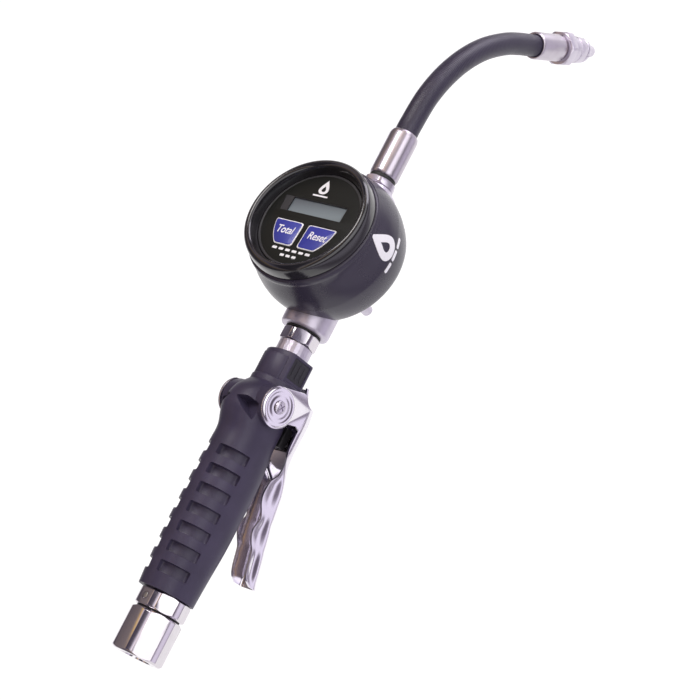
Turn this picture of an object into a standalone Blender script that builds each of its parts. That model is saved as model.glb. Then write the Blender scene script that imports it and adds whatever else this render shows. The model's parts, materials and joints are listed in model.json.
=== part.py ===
"""Hand-held metered oil dispensing gun: swivel inlet, lever valve, digital oval-gear meter, pre-bent hose, nozzle.

World frame, metres. X runs with the flow along the gun's straight axis, Z points to the palm side of the grip,
and the origin is the middle of the inlet's end face. The meter is screwed on turned about X towards -Y, so it
is modelled in a frame of its own, and so are its tilted face, the extension hose and the nozzle.
"""

import math

import bmesh
import bpy
from mathutils import Matrix, Vector

GAP = 0.0003
SEGMENTS = 28

# Frames
METER_TURN = math.radians(13.9)
METER_X = 0.294
FACE_Z = 0.0526
FACE_TILT = math.radians(5.5)
EXTENSION_TURN = math.radians(7.0)
NOZZLE_BEND = math.radians(57.0)

# Inlet swivel
HEX_FLATS = 0.032
HEX_TURNED_RADIUS = 0.0173
NUT_LENGTH = 0.0288
NUT_THREAD_RADIUS = 0.0096
RACE_BORE_RADIUS = 0.0118
INLET_HEX_START = 0.0307
PLUG_X = 0.0363
GRIP_START = 0.0424
STEM_RADIUS = 0.0090
STEM_BORE_RADIUS = 0.0065

# Grip and neck
GRIP_HALF_WIDTH = 0.0182
GRIP_HALF_DEPTH = 0.0212
GRIP_CENTRE_Z = 0.0018
GRIP_END = 0.157
GRIP_BORE_RADIUS = 0.0131
WINDOW_PITCH = 0.01365
WINDOW_FIRST_X = 0.0524
WINDOW_LENGTH = 0.0074
WINDOW_COUNT = 7
WINDOW_DEPTH = 0.0030
NECK_END = 0.2158
NECK_RADIUS = 0.0150
LUG_RADIUS = 0.0180

# Trigger
PIVOT_X = 0.1781
PIVOT_Z = 0.0076
PIVOT = (PIVOT_X, 0, PIVOT_Z)
BOSS_RADIUS = 0.0134
BOSS_HALF_LENGTH = 0.0205
EAR_RADIUS = 0.0140
EAR_OUTSIDE = 0.0228
PLATE = 0.0018
SCREW_RADIUS = 0.0023

# Valve
VALVE_RADIUS = 0.0128
VALVE_STEP = 0.2112
OUTLET_NECK_RADIUS = 0.0116
OUTLET_NECK_END = 0.2246
VALVE_BORE_RADIUS = 0.0070
CHAMBER_RADIUS = 0.0092
ADAPTER_TURN = math.radians(-10.5)
ADAPTER_END = 0.2342
POPPET_HEAD = 0.1940
PIN_X = 0.1670
PIN_RADIUS = 0.0028
SPRING_TURNS = 5
SPRING_START = 0.1722
SPRING_LENGTH = 0.0190
SPRING_MEAN_RADIUS = 0.0060

# Meter
METER_BOSS_RADIUS = 0.0170
BOSS_END = 0.3485
HOUSING_BOTTOM = -0.018
HOUSING_TOP = 0.0178
GEAR_SPACING = 0.026
GEAR_LONG = 0.0155
GEAR_SHORT = 0.0105
GEAR_BOTTOM = -0.0088
GEAR_TOP = 0.0088
GEAR_CLEARANCE = 0.0005
GEAR_TEETH = 22
GEAR_POINTS = 88
TOOTH_DEPTH = 0.0007
POST_RADIUS = 0.0024
POST_DEPTH = 0.0045
COVER_BOTTOM = 0.0103
COVER_RADIUS = 0.0382
COVER_BOLT_RADIUS = 0.0330
COVER_SCREWS = 4
THREAD_RADIUS = 0.0081
FLOW_RADIUS = 0.0055
BEZEL_RADIUS = 0.0444
FACE_RADIUS = 0.0364

# Outlet, hose and nozzle
FITTING_RADIUS = 0.0107
FERRULE_RADIUS = 0.0103
FERRULE_START = 0.3568
FERRULE_END = 0.3921
HOSE_RADIUS = 0.0081
HOSE_START = 0.3605
NOZZLE_ENTRY = (0.5232, 0.0, -0.0761)
HOSE_ROUTE = (
    (0.3605, 0.0),
    (0.3760, 0.0),
    (0.3920, 0.0),
    (0.4010, -0.0001),
    (0.4243, -0.0020),
    (0.4468, -0.0081),
    (0.4680, -0.0180),
    (0.4871, -0.0313),
    (0.5036, -0.0479),
    (0.5134, -0.0610),
    (0.5188, -0.0694),
    (0.5232, -0.0761),
    (0.5341, -0.0929),
)

FINISHES = {
    "zinc": ((0.72, 0.70, 0.70), 0.28, 1.0),
    "chrome": ((0.85, 0.85, 0.87), 0.12, 1.0),
    "cast_aluminium": ((0.62, 0.61, 0.63), 0.45, 1.0),
    "steel": ((0.50, 0.50, 0.52), 0.35, 1.0),
    "brass": ((0.75, 0.58, 0.30), 0.30, 1.0),
    "grip_plastic": ((0.060, 0.055, 0.075), 0.50, 0.0),
    "boot_rubber": ((0.070, 0.064, 0.085), 0.55, 0.0),
    "black_gloss": ((0.012, 0.012, 0.013), 0.12, 0.0),
    "black_plastic": ((0.020, 0.020, 0.021), 0.40, 0.0),
    "hose_rubber": ((0.022, 0.021, 0.027), 0.55, 0.0),
    "seal_rubber": ((0.015, 0.015, 0.015), 0.60, 0.0),
    "button_blue": ((0.055, 0.065, 0.42), 0.35, 0.0),
    "display_glass": ((0.30, 0.36, 0.42), 0.10, 0.0),
    "gear_polymer": ((0.80, 0.78, 0.72), 0.40, 0.0),
    "circuit_green": ((0.03, 0.20, 0.10), 0.45, 0.0),
    "battery_sleeve": ((0.10, 0.11, 0.12), 0.35, 0.0),
}


def clear_scene():
    """Remove every object, so that the script starts from nothing."""
    for thing in list(bpy.data.objects):
        bpy.data.objects.remove(thing)


def material(name):
    """The named finish as a Principled material, made once."""
    if name not in bpy.data.materials:
        colour, roughness, metallic = FINISHES[name]
        made = bpy.data.materials.new(name)
        made.use_nodes = True
        shader = made.node_tree.nodes["Principled BSDF"]
        shader.inputs["Base Color"].default_value = (*colour, 1.0)
        shader.inputs["Roughness"].default_value = roughness
        shader.inputs["Metallic"].default_value = metallic
        made.diffuse_color = (*colour, 1.0)
    return bpy.data.materials[name]


def frame(name, location, rotation, parent=None):
    """An empty that holds a local frame."""
    empty = bpy.data.objects.new(name, None)
    empty.location = location
    empty.rotation_euler = rotation
    empty.parent = parent
    bpy.context.collection.objects.link(empty)
    return empty


def solid(name, mesh, finish, parent=None, location=(0, 0, 0)):
    """Turn a bmesh into a named object with its normals outwards and its round sides smooth."""
    bmesh.ops.remove_doubles(mesh, verts=mesh.verts, dist=1e-6)
    bmesh.ops.recalc_face_normals(mesh, faces=mesh.faces)
    data = bpy.data.meshes.new(name)
    mesh.to_mesh(data)
    mesh.free()
    data.shade_smooth()
    data.set_sharp_from_angle(angle=math.radians(35))
    thing = bpy.data.objects.new(name, data)
    if finish:
        data.materials.append(material(finish))
    else:
        thing.hide_render = True
        thing.display_type = "WIRE"
    thing.parent = parent
    thing.location = location
    bpy.context.collection.objects.link(thing)
    return thing


def along(axis):
    """The rotation that takes +X onto the named axis."""
    if axis == "Y":
        return Matrix.Rotation(math.pi / 2, 4, "Z")
    if axis == "Z":
        return Matrix.Rotation(-math.pi / 2, 4, "Y")
    return Matrix.Identity(4)


def turned(name, profile, finish, axis="X", segments=SEGMENTS, parent=None, location=(0, 0, 0)):
    """Spin (distance along, radius) points about an axis: a loop if it is hollow, else a line that meets the axis."""
    mesh = bmesh.new()
    verts = [mesh.verts.new((x, r, 0)) for x, r in profile]
    edges = [mesh.edges.new(pair) for pair in zip(verts, verts[1:])]
    if min(r for _, r in profile) > 0:
        edges.append(mesh.edges.new((verts[-1], verts[0])))
    bmesh.ops.spin(
        mesh, geom=verts + edges, cent=(0, 0, 0), axis=(1, 0, 0), angle=math.tau, steps=segments, use_merge=True
    )
    bmesh.ops.transform(mesh, matrix=along(axis), verts=mesh.verts)
    return solid(name, mesh, finish, parent, location)


def rod(name, start, end, radius, finish, **where):
    """A plain cylinder between two stations."""
    return turned(name, [(start, 0), (start, radius), (end, radius), (end, 0)], finish, **where)


def sleeve(name, start, end, inner, outer, finish, **where):
    """A plain tube between two stations."""
    return turned(name, [(start, inner), (start, outer), (end, outer), (end, inner)], finish, **where)


def prism(name, outline, low, high, finish, plane="YZ", parent=None, location=(0, 0, 0)):
    """Extrude a closed outline of a plane between two stations across it."""
    place = {
        "YZ": lambda a, b, depth: (depth, a, b),
        "XZ": lambda a, b, depth: (a, depth, b),
        "XY": lambda a, b, depth: (a, b, depth),
    }[plane]
    mesh = bmesh.new()
    face = mesh.faces.new([mesh.verts.new(place(a, b, low)) for a, b in outline])
    side = bmesh.ops.extrude_face_region(mesh, geom=[face])["geom"]
    push = Vector(place(0, 0, high)) - Vector(place(0, 0, low))
    bmesh.ops.translate(mesh, vec=push, verts=[v for v in side if isinstance(v, bmesh.types.BMVert)])
    return solid(name, mesh, finish, parent, location)


def combine(target, other, operation):
    """Cut one solid by another, join it on or keep what they share; the other becomes a hidden guide."""
    other.hide_render = True
    other.display_type = "WIRE"
    change = target.modifiers.new(other.name, "BOOLEAN")
    change.operation = operation
    change.solver = "EXACT"
    change.object = other


def cut(target, *cutters):
    """Take guides away from a solid."""
    for cutter in cutters:
        combine(target, cutter, "DIFFERENCE")


def circle(radius, count, centre=(0, 0)):
    """Points round a circle."""
    turns = [math.tau * k / count for k in range(count)]
    return [(centre[0] + radius * math.cos(a), centre[1] + radius * math.sin(a)) for a in turns]


def hexagon(flats, turned_radius, arc_steps=3):
    """A hexagon with flats facing +Z and -Z in YZ, its corners turned down to a radius."""
    half = flats / 2
    lean = math.acos(half / turned_radius)
    points = []
    for k in range(6):
        facet = math.radians(30 + 60 * k)
        start, stop = facet + lean, facet + math.radians(60) - lean
        for step in range(arc_steps + 1):
            a = start + (stop - start) * step / arc_steps
            points.append((turned_radius * math.cos(a), turned_radius * math.sin(a)))
    return points


def oval(half_width, half_depth, centre_z, power=2.3, count=36):
    """A superellipse section in YZ, a little squarer than an ellipse."""
    points = []
    for k in range(count):
        a = math.tau * k / count
        c, s = math.cos(a), math.sin(a)
        y = half_width * math.copysign(abs(c) ** (2 / power), c)
        z = centre_z + half_depth * math.copysign(abs(s) ** (2 / power), s)
        points.append((y, z))
    return points


def loft(name, sections, finish, parent=None):
    """Join equal rings of (y, z) points at their X stations into one closed solid."""
    mesh = bmesh.new()
    rings = [[mesh.verts.new((x, y, z)) for y, z in outline] for x, outline in sections]
    for near, far in zip(rings, rings[1:]):
        for k in range(len(near)):
            after = (k + 1) % len(near)
            mesh.faces.new((near[k], near[after], far[after], far[k]))
    mesh.faces.new(rings[0])
    mesh.faces.new(rings[-1])
    return solid(name, mesh, finish, parent)


def smooth_route(points, steps):
    """Catmull-Rom points through a route's own points."""
    ends = [2 * points[0] - points[1], *points, 2 * points[-1] - points[-2]]
    route = []
    for a, b, c, d in zip(ends, ends[1:], ends[2:], ends[3:]):
        for step in range(steps):
            t = step / steps
            bend = (2 * a - 5 * b + 4 * c - d) * t**2 + (3 * b - a - 3 * c + d) * t**3
            route.append(0.5 * (2 * b + (c - a) * t + bend))
    return [*route, points[-1]]


def tube(name, points, radius, finish, parent):
    """A round tube of twelve sides along points."""
    curve = bpy.data.curves.new(name, "CURVE")
    curve.dimensions = "3D"
    curve.bevel_depth = radius
    curve.bevel_resolution = 4
    curve.use_fill_caps = True
    spline = curve.splines.new("POLY")
    spline.points.add(len(points) - 1)
    for knot, point in zip(spline.points, points):
        knot.co = (*point, 1.0)
    curve.materials.append(material(finish))
    thing = bpy.data.objects.new(name, curve)
    thing.parent = parent
    bpy.context.collection.objects.link(thing)
    return thing


def build_swivel():
    """The free hex nut, and the hexed stem that it turns on."""
    nut = prism("swivel_nut", hexagon(HEX_FLATS, HEX_TURNED_RADIUS), 0, NUT_LENGTH, "zinc")
    cut(
        nut,
        rod("nut_thread", -0.01, 0.0165, NUT_THREAD_RADIUS, None),
        rod("nut_race", 0.0160, 0.04, RACE_BORE_RADIUS, None),
    )
    stem = turned(
        "swivel_stem",
        [
            (0.0170, STEM_BORE_RADIUS),
            (0.0170, STEM_RADIUS),
            (0.0300, STEM_RADIUS),
            (0.0300, 0.0100),
            (INLET_HEX_START, 0.0120),
            (GRIP_START - GAP, 0.0120),
            (GRIP_START - GAP, 0.0098),
            (0.0560, 0.0098),
            (0.0560, STEM_BORE_RADIUS),
        ],
        "zinc",
    )
    outline = hexagon(HEX_FLATS, HEX_TURNED_RADIUS - 0.0002)
    inlet_hex = prism("inlet_hex", outline, INLET_HEX_START, GRIP_START - GAP, "zinc")
    cut(inlet_hex, rod("inlet_hex_bore", 0.02, 0.06, 0.0120 + GAP, None))
    plug = {"axis": "Z", "segments": 14, "location": (PLUG_X, 0, 0)}
    cut(inlet_hex, rod("plug_hole", 0.0126, 0.03, 0.0025, None, **plug))
    rod("race_plug", 0.0130, 0.0163, 0.0021, "steel", **plug)
    sleeve("race_ring", 0.0200, 0.0240, STEM_RADIUS + GAP, RACE_BORE_RADIUS - GAP, "steel")
    sleeve("swivel_seal", NUT_LENGTH + GAP, 0.0298, STEM_RADIUS + GAP, 0.0158, "seal_rubber")
    strainer = sleeve("inlet_strainer", 0.0190, 0.0500, 0.0050, 0.0060, "brass", segments=20)
    combine(strainer, rod("strainer_end", 0.0488, 0.0500, 0.0056, None, segments=20), "UNION")


def build_valve():
    """The pressure tube inside the grip, with its seat, poppet, spring and push pin."""
    body = turned(
        "valve_body",
        [
            (GRIP_START + GAP, 0.0101),
            (GRIP_START + GAP, VALVE_RADIUS),
            (VALVE_STEP, VALVE_RADIUS),
            (VALVE_STEP, OUTLET_NECK_RADIUS),
            (OUTLET_NECK_END, OUTLET_NECK_RADIUS),
            (OUTLET_NECK_END, 0.0082),
            (0.2100, 0.0082),
            (0.2100, CHAMBER_RADIUS),
            (0.1560, CHAMBER_RADIUS),
            (0.1560, VALVE_BORE_RADIUS),
            (0.0570, VALVE_BORE_RADIUS),
            (0.0570, 0.0101),
        ],
        "cast_aluminium",
    )
    pin = {"axis": "Z", "segments": 16, "location": (PIN_X, 0, 0)}
    cut(body, rod("pin_hole", -0.03, 0, PIN_RADIUS + GAP, None, **pin))
    sleeve("valve_seat", 0.1990, 0.2030, 0.0055, CHAMBER_RADIUS - GAP, "brass", segments=24)
    turned(
        "poppet",
        [
            (0.1664, 0),
            (0.1672, 0.0026),
            (POPPET_HEAD, 0.0026),
            (POPPET_HEAD, 0.0068),
            (0.1962, 0.0068),
            (0.1962, 0),
        ],
        "steel",
        segments=20,
    )
    sleeve("poppet_seal", 0.1965, 0.1985, 0.0030, 0.0070, "seal_rubber", segments=20)
    sleeve("spring_seat", 0.1702, 0.1714, 0.0031, CHAMBER_RADIUS - GAP, "steel", segments=20)
    turned(
        "push_pin",
        [
            (-0.0249, 0),
            (-0.0249, 0.0016),
            (-0.0238, PIN_RADIUS),
            (-0.0060, PIN_RADIUS),
            (-0.0048, 0.0014),
            (-0.0048, 0),
        ],
        "steel",
        **pin,
    )
    guard = prism(
        "stem_guard",
        [(-0.0105, -0.0225), (0.0105, -0.0225), (0.0105, -0.0169), (-0.0105, -0.0169)],
        0.1600,
        0.1740,
        "black_plastic",
    )
    cut(guard, rod("guard_hole", -0.03, -0.01, PIN_RADIUS + 2 * GAP, None, **pin))
    steps = 14
    pitch = SPRING_LENGTH / (SPRING_TURNS * steps)
    coil = []
    for k in range(SPRING_TURNS * steps + 1):
        a = math.tau * k / steps
        x = SPRING_START + pitch * k
        coil.append(Vector((x, SPRING_MEAN_RADIUS * math.cos(a), SPRING_MEAN_RADIUS * math.sin(a))))
    spring = tube("valve_spring", coil, 0.0006, "steel", None)
    spring.data.bevel_resolution = 1


def build_grip():
    """The moulded grip with its cross boss and neck, hollow for the valve body, and pocketed on both palm sides."""
    stations = (
        (GRIP_START, 0.93, 0.88, 0.0),
        (0.060, 0.97, 0.93, 0.0003),
        (0.085, 1.0, 0.99, 0.0),
        (0.125, 1.0, 1.0, 0.0),
        (0.143, 0.96, 0.97, 0.0004),
        (0.154, 0.95, 0.93, 0.0012),
        (0.166, 1.0, 1.02, 0.0036),
        (0.182, 0.92, 0.92, 0.0040),
        (0.192, 0.83, 0.72, 0.0),
    )
    sections = []
    for x, wide, deep, lift in stations:
        sections.append((x, oval(GRIP_HALF_WIDTH * wide, GRIP_HALF_DEPTH * deep, GRIP_CENTRE_Z + lift)))
    grip = loft("grip", sections, "grip_plastic")
    boss = rod("grip_boss", -BOSS_HALF_LENGTH, BOSS_HALF_LENGTH, BOSS_RADIUS, None, axis="Y", location=PIVOT)
    combine(grip, boss, "UNION")
    combine(grip, prism("grip_neck", neck_outline(), 0.180, NECK_END, None), "UNION")
    combine(grip, prism("neck_lug", circle(LUG_RADIUS, SEGMENTS), 0.1905, 0.1960, None), "UNION")
    cut(grip, rod("grip_bore", 0.03, VALVE_STEP + GAP, GRIP_BORE_RADIUS, None))
    cut(grip, rod("neck_bore", 0.20, 0.25, OUTLET_NECK_RADIUS + GAP, None))
    for k in range(WINDOW_COUNT):
        x = WINDOW_FIRST_X + k * WINDOW_PITCH
        for side in (-1, 1):
            cut(grip, window_cutter(k, side, x))
    pocket = [(0.1590, 0.0180), (0.1744, 0.0020), (0.1764, 0.0095), (0.1740, 0.0180)]
    across = {"axis": "Y", "segments": 16, "location": PIVOT}
    for side in (-1, 1):
        outline = [(x, side * y) for x, y in pocket]
        cut(grip, prism(f"shoulder_pocket_{side}", outline, 0.0185, 0.040, None, plane="XY"))
        start = side * (VALVE_RADIUS - 2 * GAP)
        cut(grip, rod(f"screw_hole_{side}", start, side * 0.03, SCREW_RADIUS + GAP, None, **across))
    pin = {"axis": "Z", "segments": 16, "location": (PIN_X, 0, 0)}
    cut(grip, rod("pin_slot", -0.03, -0.008, PIN_RADIUS + 2 * GAP, None, **pin))
    return grip


def neck_outline():
    """The neck's section in YZ: flat sides between a rounded palm side and a rounded lever side."""
    half_turn = [math.radians(36 + 108 * k / 8) for k in range(9)]
    upper = [(NECK_RADIUS * math.cos(a) * 1.22, NECK_RADIUS * math.sin(a)) for a in half_turn]
    return upper + [(y, -z) for y, z in reversed(upper)]


def window_cutter(index, side, start):
    """A curved block that leaves one shallow pocket on one palm side of the grip."""
    angles = [math.radians(12 + 66 * k / 6) for k in range(7)]
    inner_y, inner_z = GRIP_HALF_WIDTH - WINDOW_DEPTH, GRIP_HALF_DEPTH - WINDOW_DEPTH
    inner = [(side * inner_y * math.sin(a), GRIP_CENTRE_Z + inner_z * math.cos(a)) for a in angles]
    outer = [(side * 0.030 * math.sin(a), GRIP_CENTRE_Z + 0.030 * math.cos(a)) for a in reversed(angles)]
    return prism(f"window_{index}_{side}", inner + outer, start, start + WINDOW_LENGTH, None)


def channel(width, corner, front, top, plate):
    """The section of the pressed lever in YZ: a U that opens to +Z, with round corners."""
    points = []
    for inset in (0.0, plate):
        half, depth, radius = width - inset, front - inset, max(corner - inset, 0.0005)
        side = [(-half, top)]
        for k in range(5):
            a = math.radians(22.5 * k)
            side.append((-half + radius * (1 - math.cos(a)), -depth + radius * (1 - math.sin(a))))
        whole = side + [(-y, z) for y, z in reversed(side)]
        points += whole if inset == 0.0 else list(reversed(whole))
    return points


def build_lever():
    """The pressed steel lever: two ears on the pivot, a curved web between them and a scalloped finger channel."""
    stations = (
        # X, half width, corner, depth of the web, top of the flange
        (0.2035, 0.0100, 0.0040, 0.0212, -0.0166),
        (0.1975, 0.0108, 0.0040, 0.0232, -0.0186),
        (0.1925, 0.0112, 0.0042, 0.0248, -0.0200),
        (0.1902, 0.0226, 0.0110, 0.0255, -0.0140),
        (0.1800, 0.0228, 0.0120, 0.0276, -0.0152),
        (0.1700, 0.0226, 0.0120, 0.0278, -0.0155),
        (0.1600, 0.0200, 0.0100, 0.0286, -0.0182),
        (0.1520, 0.0140, 0.0070, 0.0330, -0.0255),
        (0.1450, 0.0095, 0.0050, 0.0385, -0.0290),
        (0.1380, 0.0076, 0.0040, 0.0420, -0.0268),
        (0.1300, 0.0072, 0.0040, 0.0437, -0.0257),
        (0.1220, 0.0072, 0.0040, 0.0450, -0.0290),
        (0.1150, 0.0072, 0.0040, 0.0462, -0.0332),
        (0.1080, 0.0072, 0.0040, 0.0482, -0.0316),
        (0.1030, 0.0072, 0.0040, 0.0496, -0.0326),
        (0.0970, 0.0072, 0.0040, 0.0513, -0.0368),
        (0.0910, 0.0072, 0.0040, 0.0530, -0.0400),
        (0.0840, 0.0072, 0.0040, 0.0550, -0.0418),
        (0.0780, 0.0074, 0.0040, 0.0567, -0.0440),
        (0.0735, 0.0076, 0.0040, 0.0583, -0.0492),
    )
    lever = loft("trigger_lever", [(x, channel(w, c, d, top, PLATE)) for x, w, c, d, top in stations], "chrome")
    round_end = [math.radians(a) for a in range(35, 326, 15)]
    round_end = [a for a in round_end if a < math.radians(250)]
    ear = [(PIVOT_X + EAR_RADIUS * math.cos(a), PIVOT_Z + EAR_RADIUS * math.sin(a)) for a in round_end]
    ear += [(0.1745, -0.0120), (0.1722, -0.0165), (0.1725, -0.0172), (0.1890, -0.0172), (0.1902, -0.0160)]
    ear += [(0.1918, -0.0130), (0.1960, -0.0085), (0.1956, -0.0050)]
    for side in (-1, 1):
        edges = sorted((side * (EAR_OUTSIDE - PLATE - 0.0001), side * (EAR_OUTSIDE + 0.0001)))
        plate = prism(f"ear_{side}", ear, *edges, None, plane="XZ")
        combine(lever, plate, "UNION")
    cut(lever, rod("ear_holes", -0.03, 0.03, 0.0036, None, axis="Y", segments=20, location=PIVOT))
    pivot = {"axis": "Y", "segments": 20, "location": PIVOT}
    for side, place in ((-1, "near"), (1, "far")):
        bush = sorted((side * (BOSS_HALF_LENGTH + GAP), side * (EAR_OUTSIDE + GAP)))
        sleeve(f"pivot_bush_{place}", *bush, SCREW_RADIUS + GAP, 0.0033, "brass", **pivot)
        tip, head, top = side * 0.0130, side * (EAR_OUTSIDE + 2 * GAP), side * 0.0245
        shape = [(tip, 0), (tip, SCREW_RADIUS), (head, SCREW_RADIUS), (head, 0.0052), (top, 0.0040), (top, 0)]
        turned(f"pivot_screw_{place}", shape, "zinc", **pivot)
    return lever


def build_adapter():
    """The hexed adapter that screws the meter onto the valve, and its sealing washer."""
    turn = frame("adapter_frame", (0, 0, 0), (ADAPTER_TURN, 0, 0))
    adapter = prism("adapter_hex", hexagon(0.0235, 0.0127), OUTLET_NECK_END + GAP, ADAPTER_END, "zinc", parent=turn)
    for name, start, end in (("valve_thread", 0.2115, 0.2260), ("meter_thread", 0.2330, 0.2445)):
        combine(adapter, rod(name, start, end, THREAD_RADIUS - GAP, None, parent=turn), "UNION")
    cut(adapter, rod("adapter_bore", 0.20, 0.26, FLOW_RADIUS, None, parent=turn))
    sleeve("adapter_washer", ADAPTER_END + GAP, 0.2352, THREAD_RADIUS + GAP, 0.0135, "seal_rubber", parent=turn)


def build_meter(meter):
    """The flow meter: cast housing, two oval gears on posts, cover plate with four screws, outlet fitting."""
    where = {"parent": meter}
    centre = {"parent": meter, "axis": "Z", "segments": 40, "location": (METER_X, 0, 0)}
    housing = turned(
        "meter_housing",
        [
            (HOUSING_BOTTOM, 0),
            (HOUSING_BOTTOM, 0.0300),
            (-0.0160, 0.0325),
            (-0.0080, 0.0385),
            (-0.0020, 0.0425),
            (HOUSING_TOP, 0.0430),
            (HOUSING_TOP, 0),
        ],
        "cast_aluminium",
        **centre,
    )
    bosses = turned(
        "flow_bosses",
        [
            (0.2355, 0),
            (0.2355, 0.0130),
            (0.2368, 0.0160),
            (0.2395, METER_BOSS_RADIUS),
            (0.3400, METER_BOSS_RADIUS),
            (0.3440, 0.0150),
            (0.3465, 0.0112),
            (BOSS_END, 0.0108),
            (BOSS_END, 0),
        ],
        None,
        **where,
    )
    combine(housing, bosses, "UNION")
    for k, side in enumerate((-1, 1)):
        at = {"parent": meter, "axis": "Z", "location": (METER_X, side * GEAR_SPACING / 2, 0)}
        pocket = GEAR_LONG + GEAR_CLEARANCE
        cut(housing, rod(f"gear_pocket_{k}", GEAR_BOTTOM - GEAR_CLEARANCE, 0.03, pocket, None, **at))
        foot = GEAR_BOTTOM - POST_DEPTH
        cut(housing, rod(f"post_hole_{k}", foot - GAP, 0, POST_RADIUS + GAP, None, segments=16, **at))
        rod(f"gear_post_{k + 1}", foot, GEAR_TOP + 0.0008, POST_RADIUS, "steel", segments=16, **at)
        span = (GEAR_BOTTOM, GEAR_TOP)
        gear = prism(f"oval_gear_{k + 1}", gear_outline(k), *span, "gear_polymer", "XY", meter, at["location"])
        cut(gear, rod(f"gear_bore_{k}", -0.02, 0.02, POST_RADIUS + GAP, None, segments=16, **at))
    cut(housing, rod("cover_recess", COVER_BOTTOM - GAP, 0.03, COVER_RADIUS + GAP, None, **centre))
    for name, start, end, radius in (
        ("inlet_thread", 0.22, 0.2450, THREAD_RADIUS),
        ("flow_bore", 0.22, 0.36, FLOW_RADIUS),
        ("outlet_thread", 0.3370, 0.36, THREAD_RADIUS),
    ):
        cut(housing, rod(name, start, end, radius, None, **where))

    cover = rod("chamber_cover", COVER_BOTTOM, 0.0148, COVER_RADIUS, "steel", **centre)
    for k in range(COVER_SCREWS):
        a = math.tau * (k + 0.5) / COVER_SCREWS
        x, y = METER_X + COVER_BOLT_RADIUS * math.cos(a), COVER_BOLT_RADIUS * math.sin(a)
        spot = {"parent": meter, "axis": "Z", "segments": 12, "location": (x, y, 0)}
        cut(cover, rod(f"cover_hole_{k}", 0, 0.03, 0.0020, None, **spot))
        cut(housing, rod(f"screw_socket_{k}", 0.0020, 0.03, 0.0017, None, **spot))
        turned(
            f"cover_screw_{k + 1}",
            [(0.0025, 0), (0.0025, 0.0014), (0.0151, 0.0014), (0.0151, 0.0030), (0.0168, 0.0026), (0.0168, 0)],
            "steel",
            **spot,
        )

    turned(
        "outlet_fitting",
        [
            (0.3380, 0.0036),
            (0.3380, THREAD_RADIUS - GAP),
            (BOSS_END + GAP, THREAD_RADIUS - GAP),
            (BOSS_END + GAP, FITTING_RADIUS),
            (0.3537, FITTING_RADIUS),
            (0.3537, 0.0050),
            (HOSE_START - GAP, 0.0050),
            (HOSE_START - GAP, 0.0036),
        ],
        "zinc",
        **where,
    )
    sleeve("outlet_seal", 0.3540, FERRULE_START - GAP, 0.0053, 0.0098, "seal_rubber", **where)


def gear_outline(quarter_turns):
    """One bilobe gear's outline with small teeth, its long axis along X and then turned by quarters."""
    a, b = GEAR_LONG, GEAR_SHORT
    outline = []
    for k in range(GEAR_POINTS):
        turn = math.tau * k / GEAR_POINTS
        radius = 2 * a * b / ((a + b) - (a - b) * math.cos(2 * turn)) - GEAR_CLEARANCE
        radius -= TOOTH_DEPTH * (0.5 + 0.5 * math.cos(GEAR_TEETH * turn))
        spin = turn + quarter_turns * math.pi / 2
        outline.append((radius * math.cos(spin), radius * math.sin(spin)))
    return outline


def build_register(face):
    """The tilted display head: case, batteries, board, display, dial face, two buttons and bezel."""
    where = {"parent": face, "axis": "Z"}
    turned(
        "register_case",
        [
            (-0.0292, 0),
            (-0.0292, 0.0395),
            (-0.0092, 0.0405),
            (-0.0092, 0.0380),
            (-0.0270, 0.0372),
            (-0.0270, 0),
        ],
        "black_plastic",
        segments=40,
        **where,
    )
    for k, x in enumerate((-0.0090, 0.0090)):
        cell = {"axis": "Y", "segments": 20, "parent": face, "location": (x, 0, -0.0195)}
        rod(f"battery_{k + 1}", -0.0250, 0.0250, 0.0070, "battery_sleeve", **cell)
    rod("circuit_board", -0.0118, -0.0104, 0.0360, "circuit_green", segments=36, **where)
    display = [(0.0015, -0.0245), (0.0165, -0.0245), (0.0165, 0.0245), (0.0015, 0.0245)]
    prism("display", display, -0.0096, -0.0076, "display_glass", "XY", face)
    panel = rod("dial_face", -0.0066, -0.0043, FACE_RADIUS, "black_gloss", segments=40, **where)
    cut(panel, prism("display_opening", scaled(display_outline(), 0.0004), -0.01, 0.0, None, "XY", face))
    prism("display_window", display_outline(), -0.0063, -0.0048, "display_glass", "XY", face)
    for name, side in (("reset_button", -1), ("total_button", 1)):
        outline = button_outline(side)
        cut(panel, prism(f"{name}_opening", scaled(outline, 0.0004), -0.01, 0.0, None, "XY", face))
        prism(name, outline, -0.0078, -0.0040, "button_blue", "XY", face)
    turned(
        "bezel",
        [
            (-0.0088, 0.0410),
            (-0.0088, 0.0438),
            (-0.0040, 0.0443),
            (0.0, BEZEL_RADIUS),
            (0.0026, 0.0434),
            (0.0040, 0.0414),
            (0.0038, 0.0396),
            (0.0020, 0.0382),
            (-0.0022, 0.0372),
            (-0.0046, 0.0367),
            (-0.0070, 0.0367),
            (-0.0070, 0.0410),
        ],
        "black_gloss",
        segments=48,
        **where,
    )


def display_outline():
    """The display's opening in the dial face."""
    return [(0.0036, -0.0222), (0.0146, -0.0222), (0.0146, 0.0222), (0.0036, 0.0222)]


def button_outline(side):
    """A key with a straight inner edge and an outer edge that follows the dial's rim."""
    near, low, high, reach = 0.0028, -0.0210, -0.0042, 0.0262
    first, last = math.acos(low / reach), math.acos(high / reach)
    turns = [first + (last - first) * k / 6 for k in range(7)]
    arc = [(reach * math.cos(a), side * reach * math.sin(a) * 0.86) for a in turns]
    return [(high, side * near), (low, side * near), *arc]


def scaled(outline, margin):
    """An outline grown by a margin about its middle."""
    middle = [sum(p[k] for p in outline) / len(outline) for k in (0, 1)]
    grown = []
    for point in outline:
        offset = Vector((point[0] - middle[0], point[1] - middle[1]))
        offset *= 1 + margin * 1.5 / offset.length
        grown.append((middle[0] + offset.x, middle[1] + offset.y))
    return grown


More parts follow.
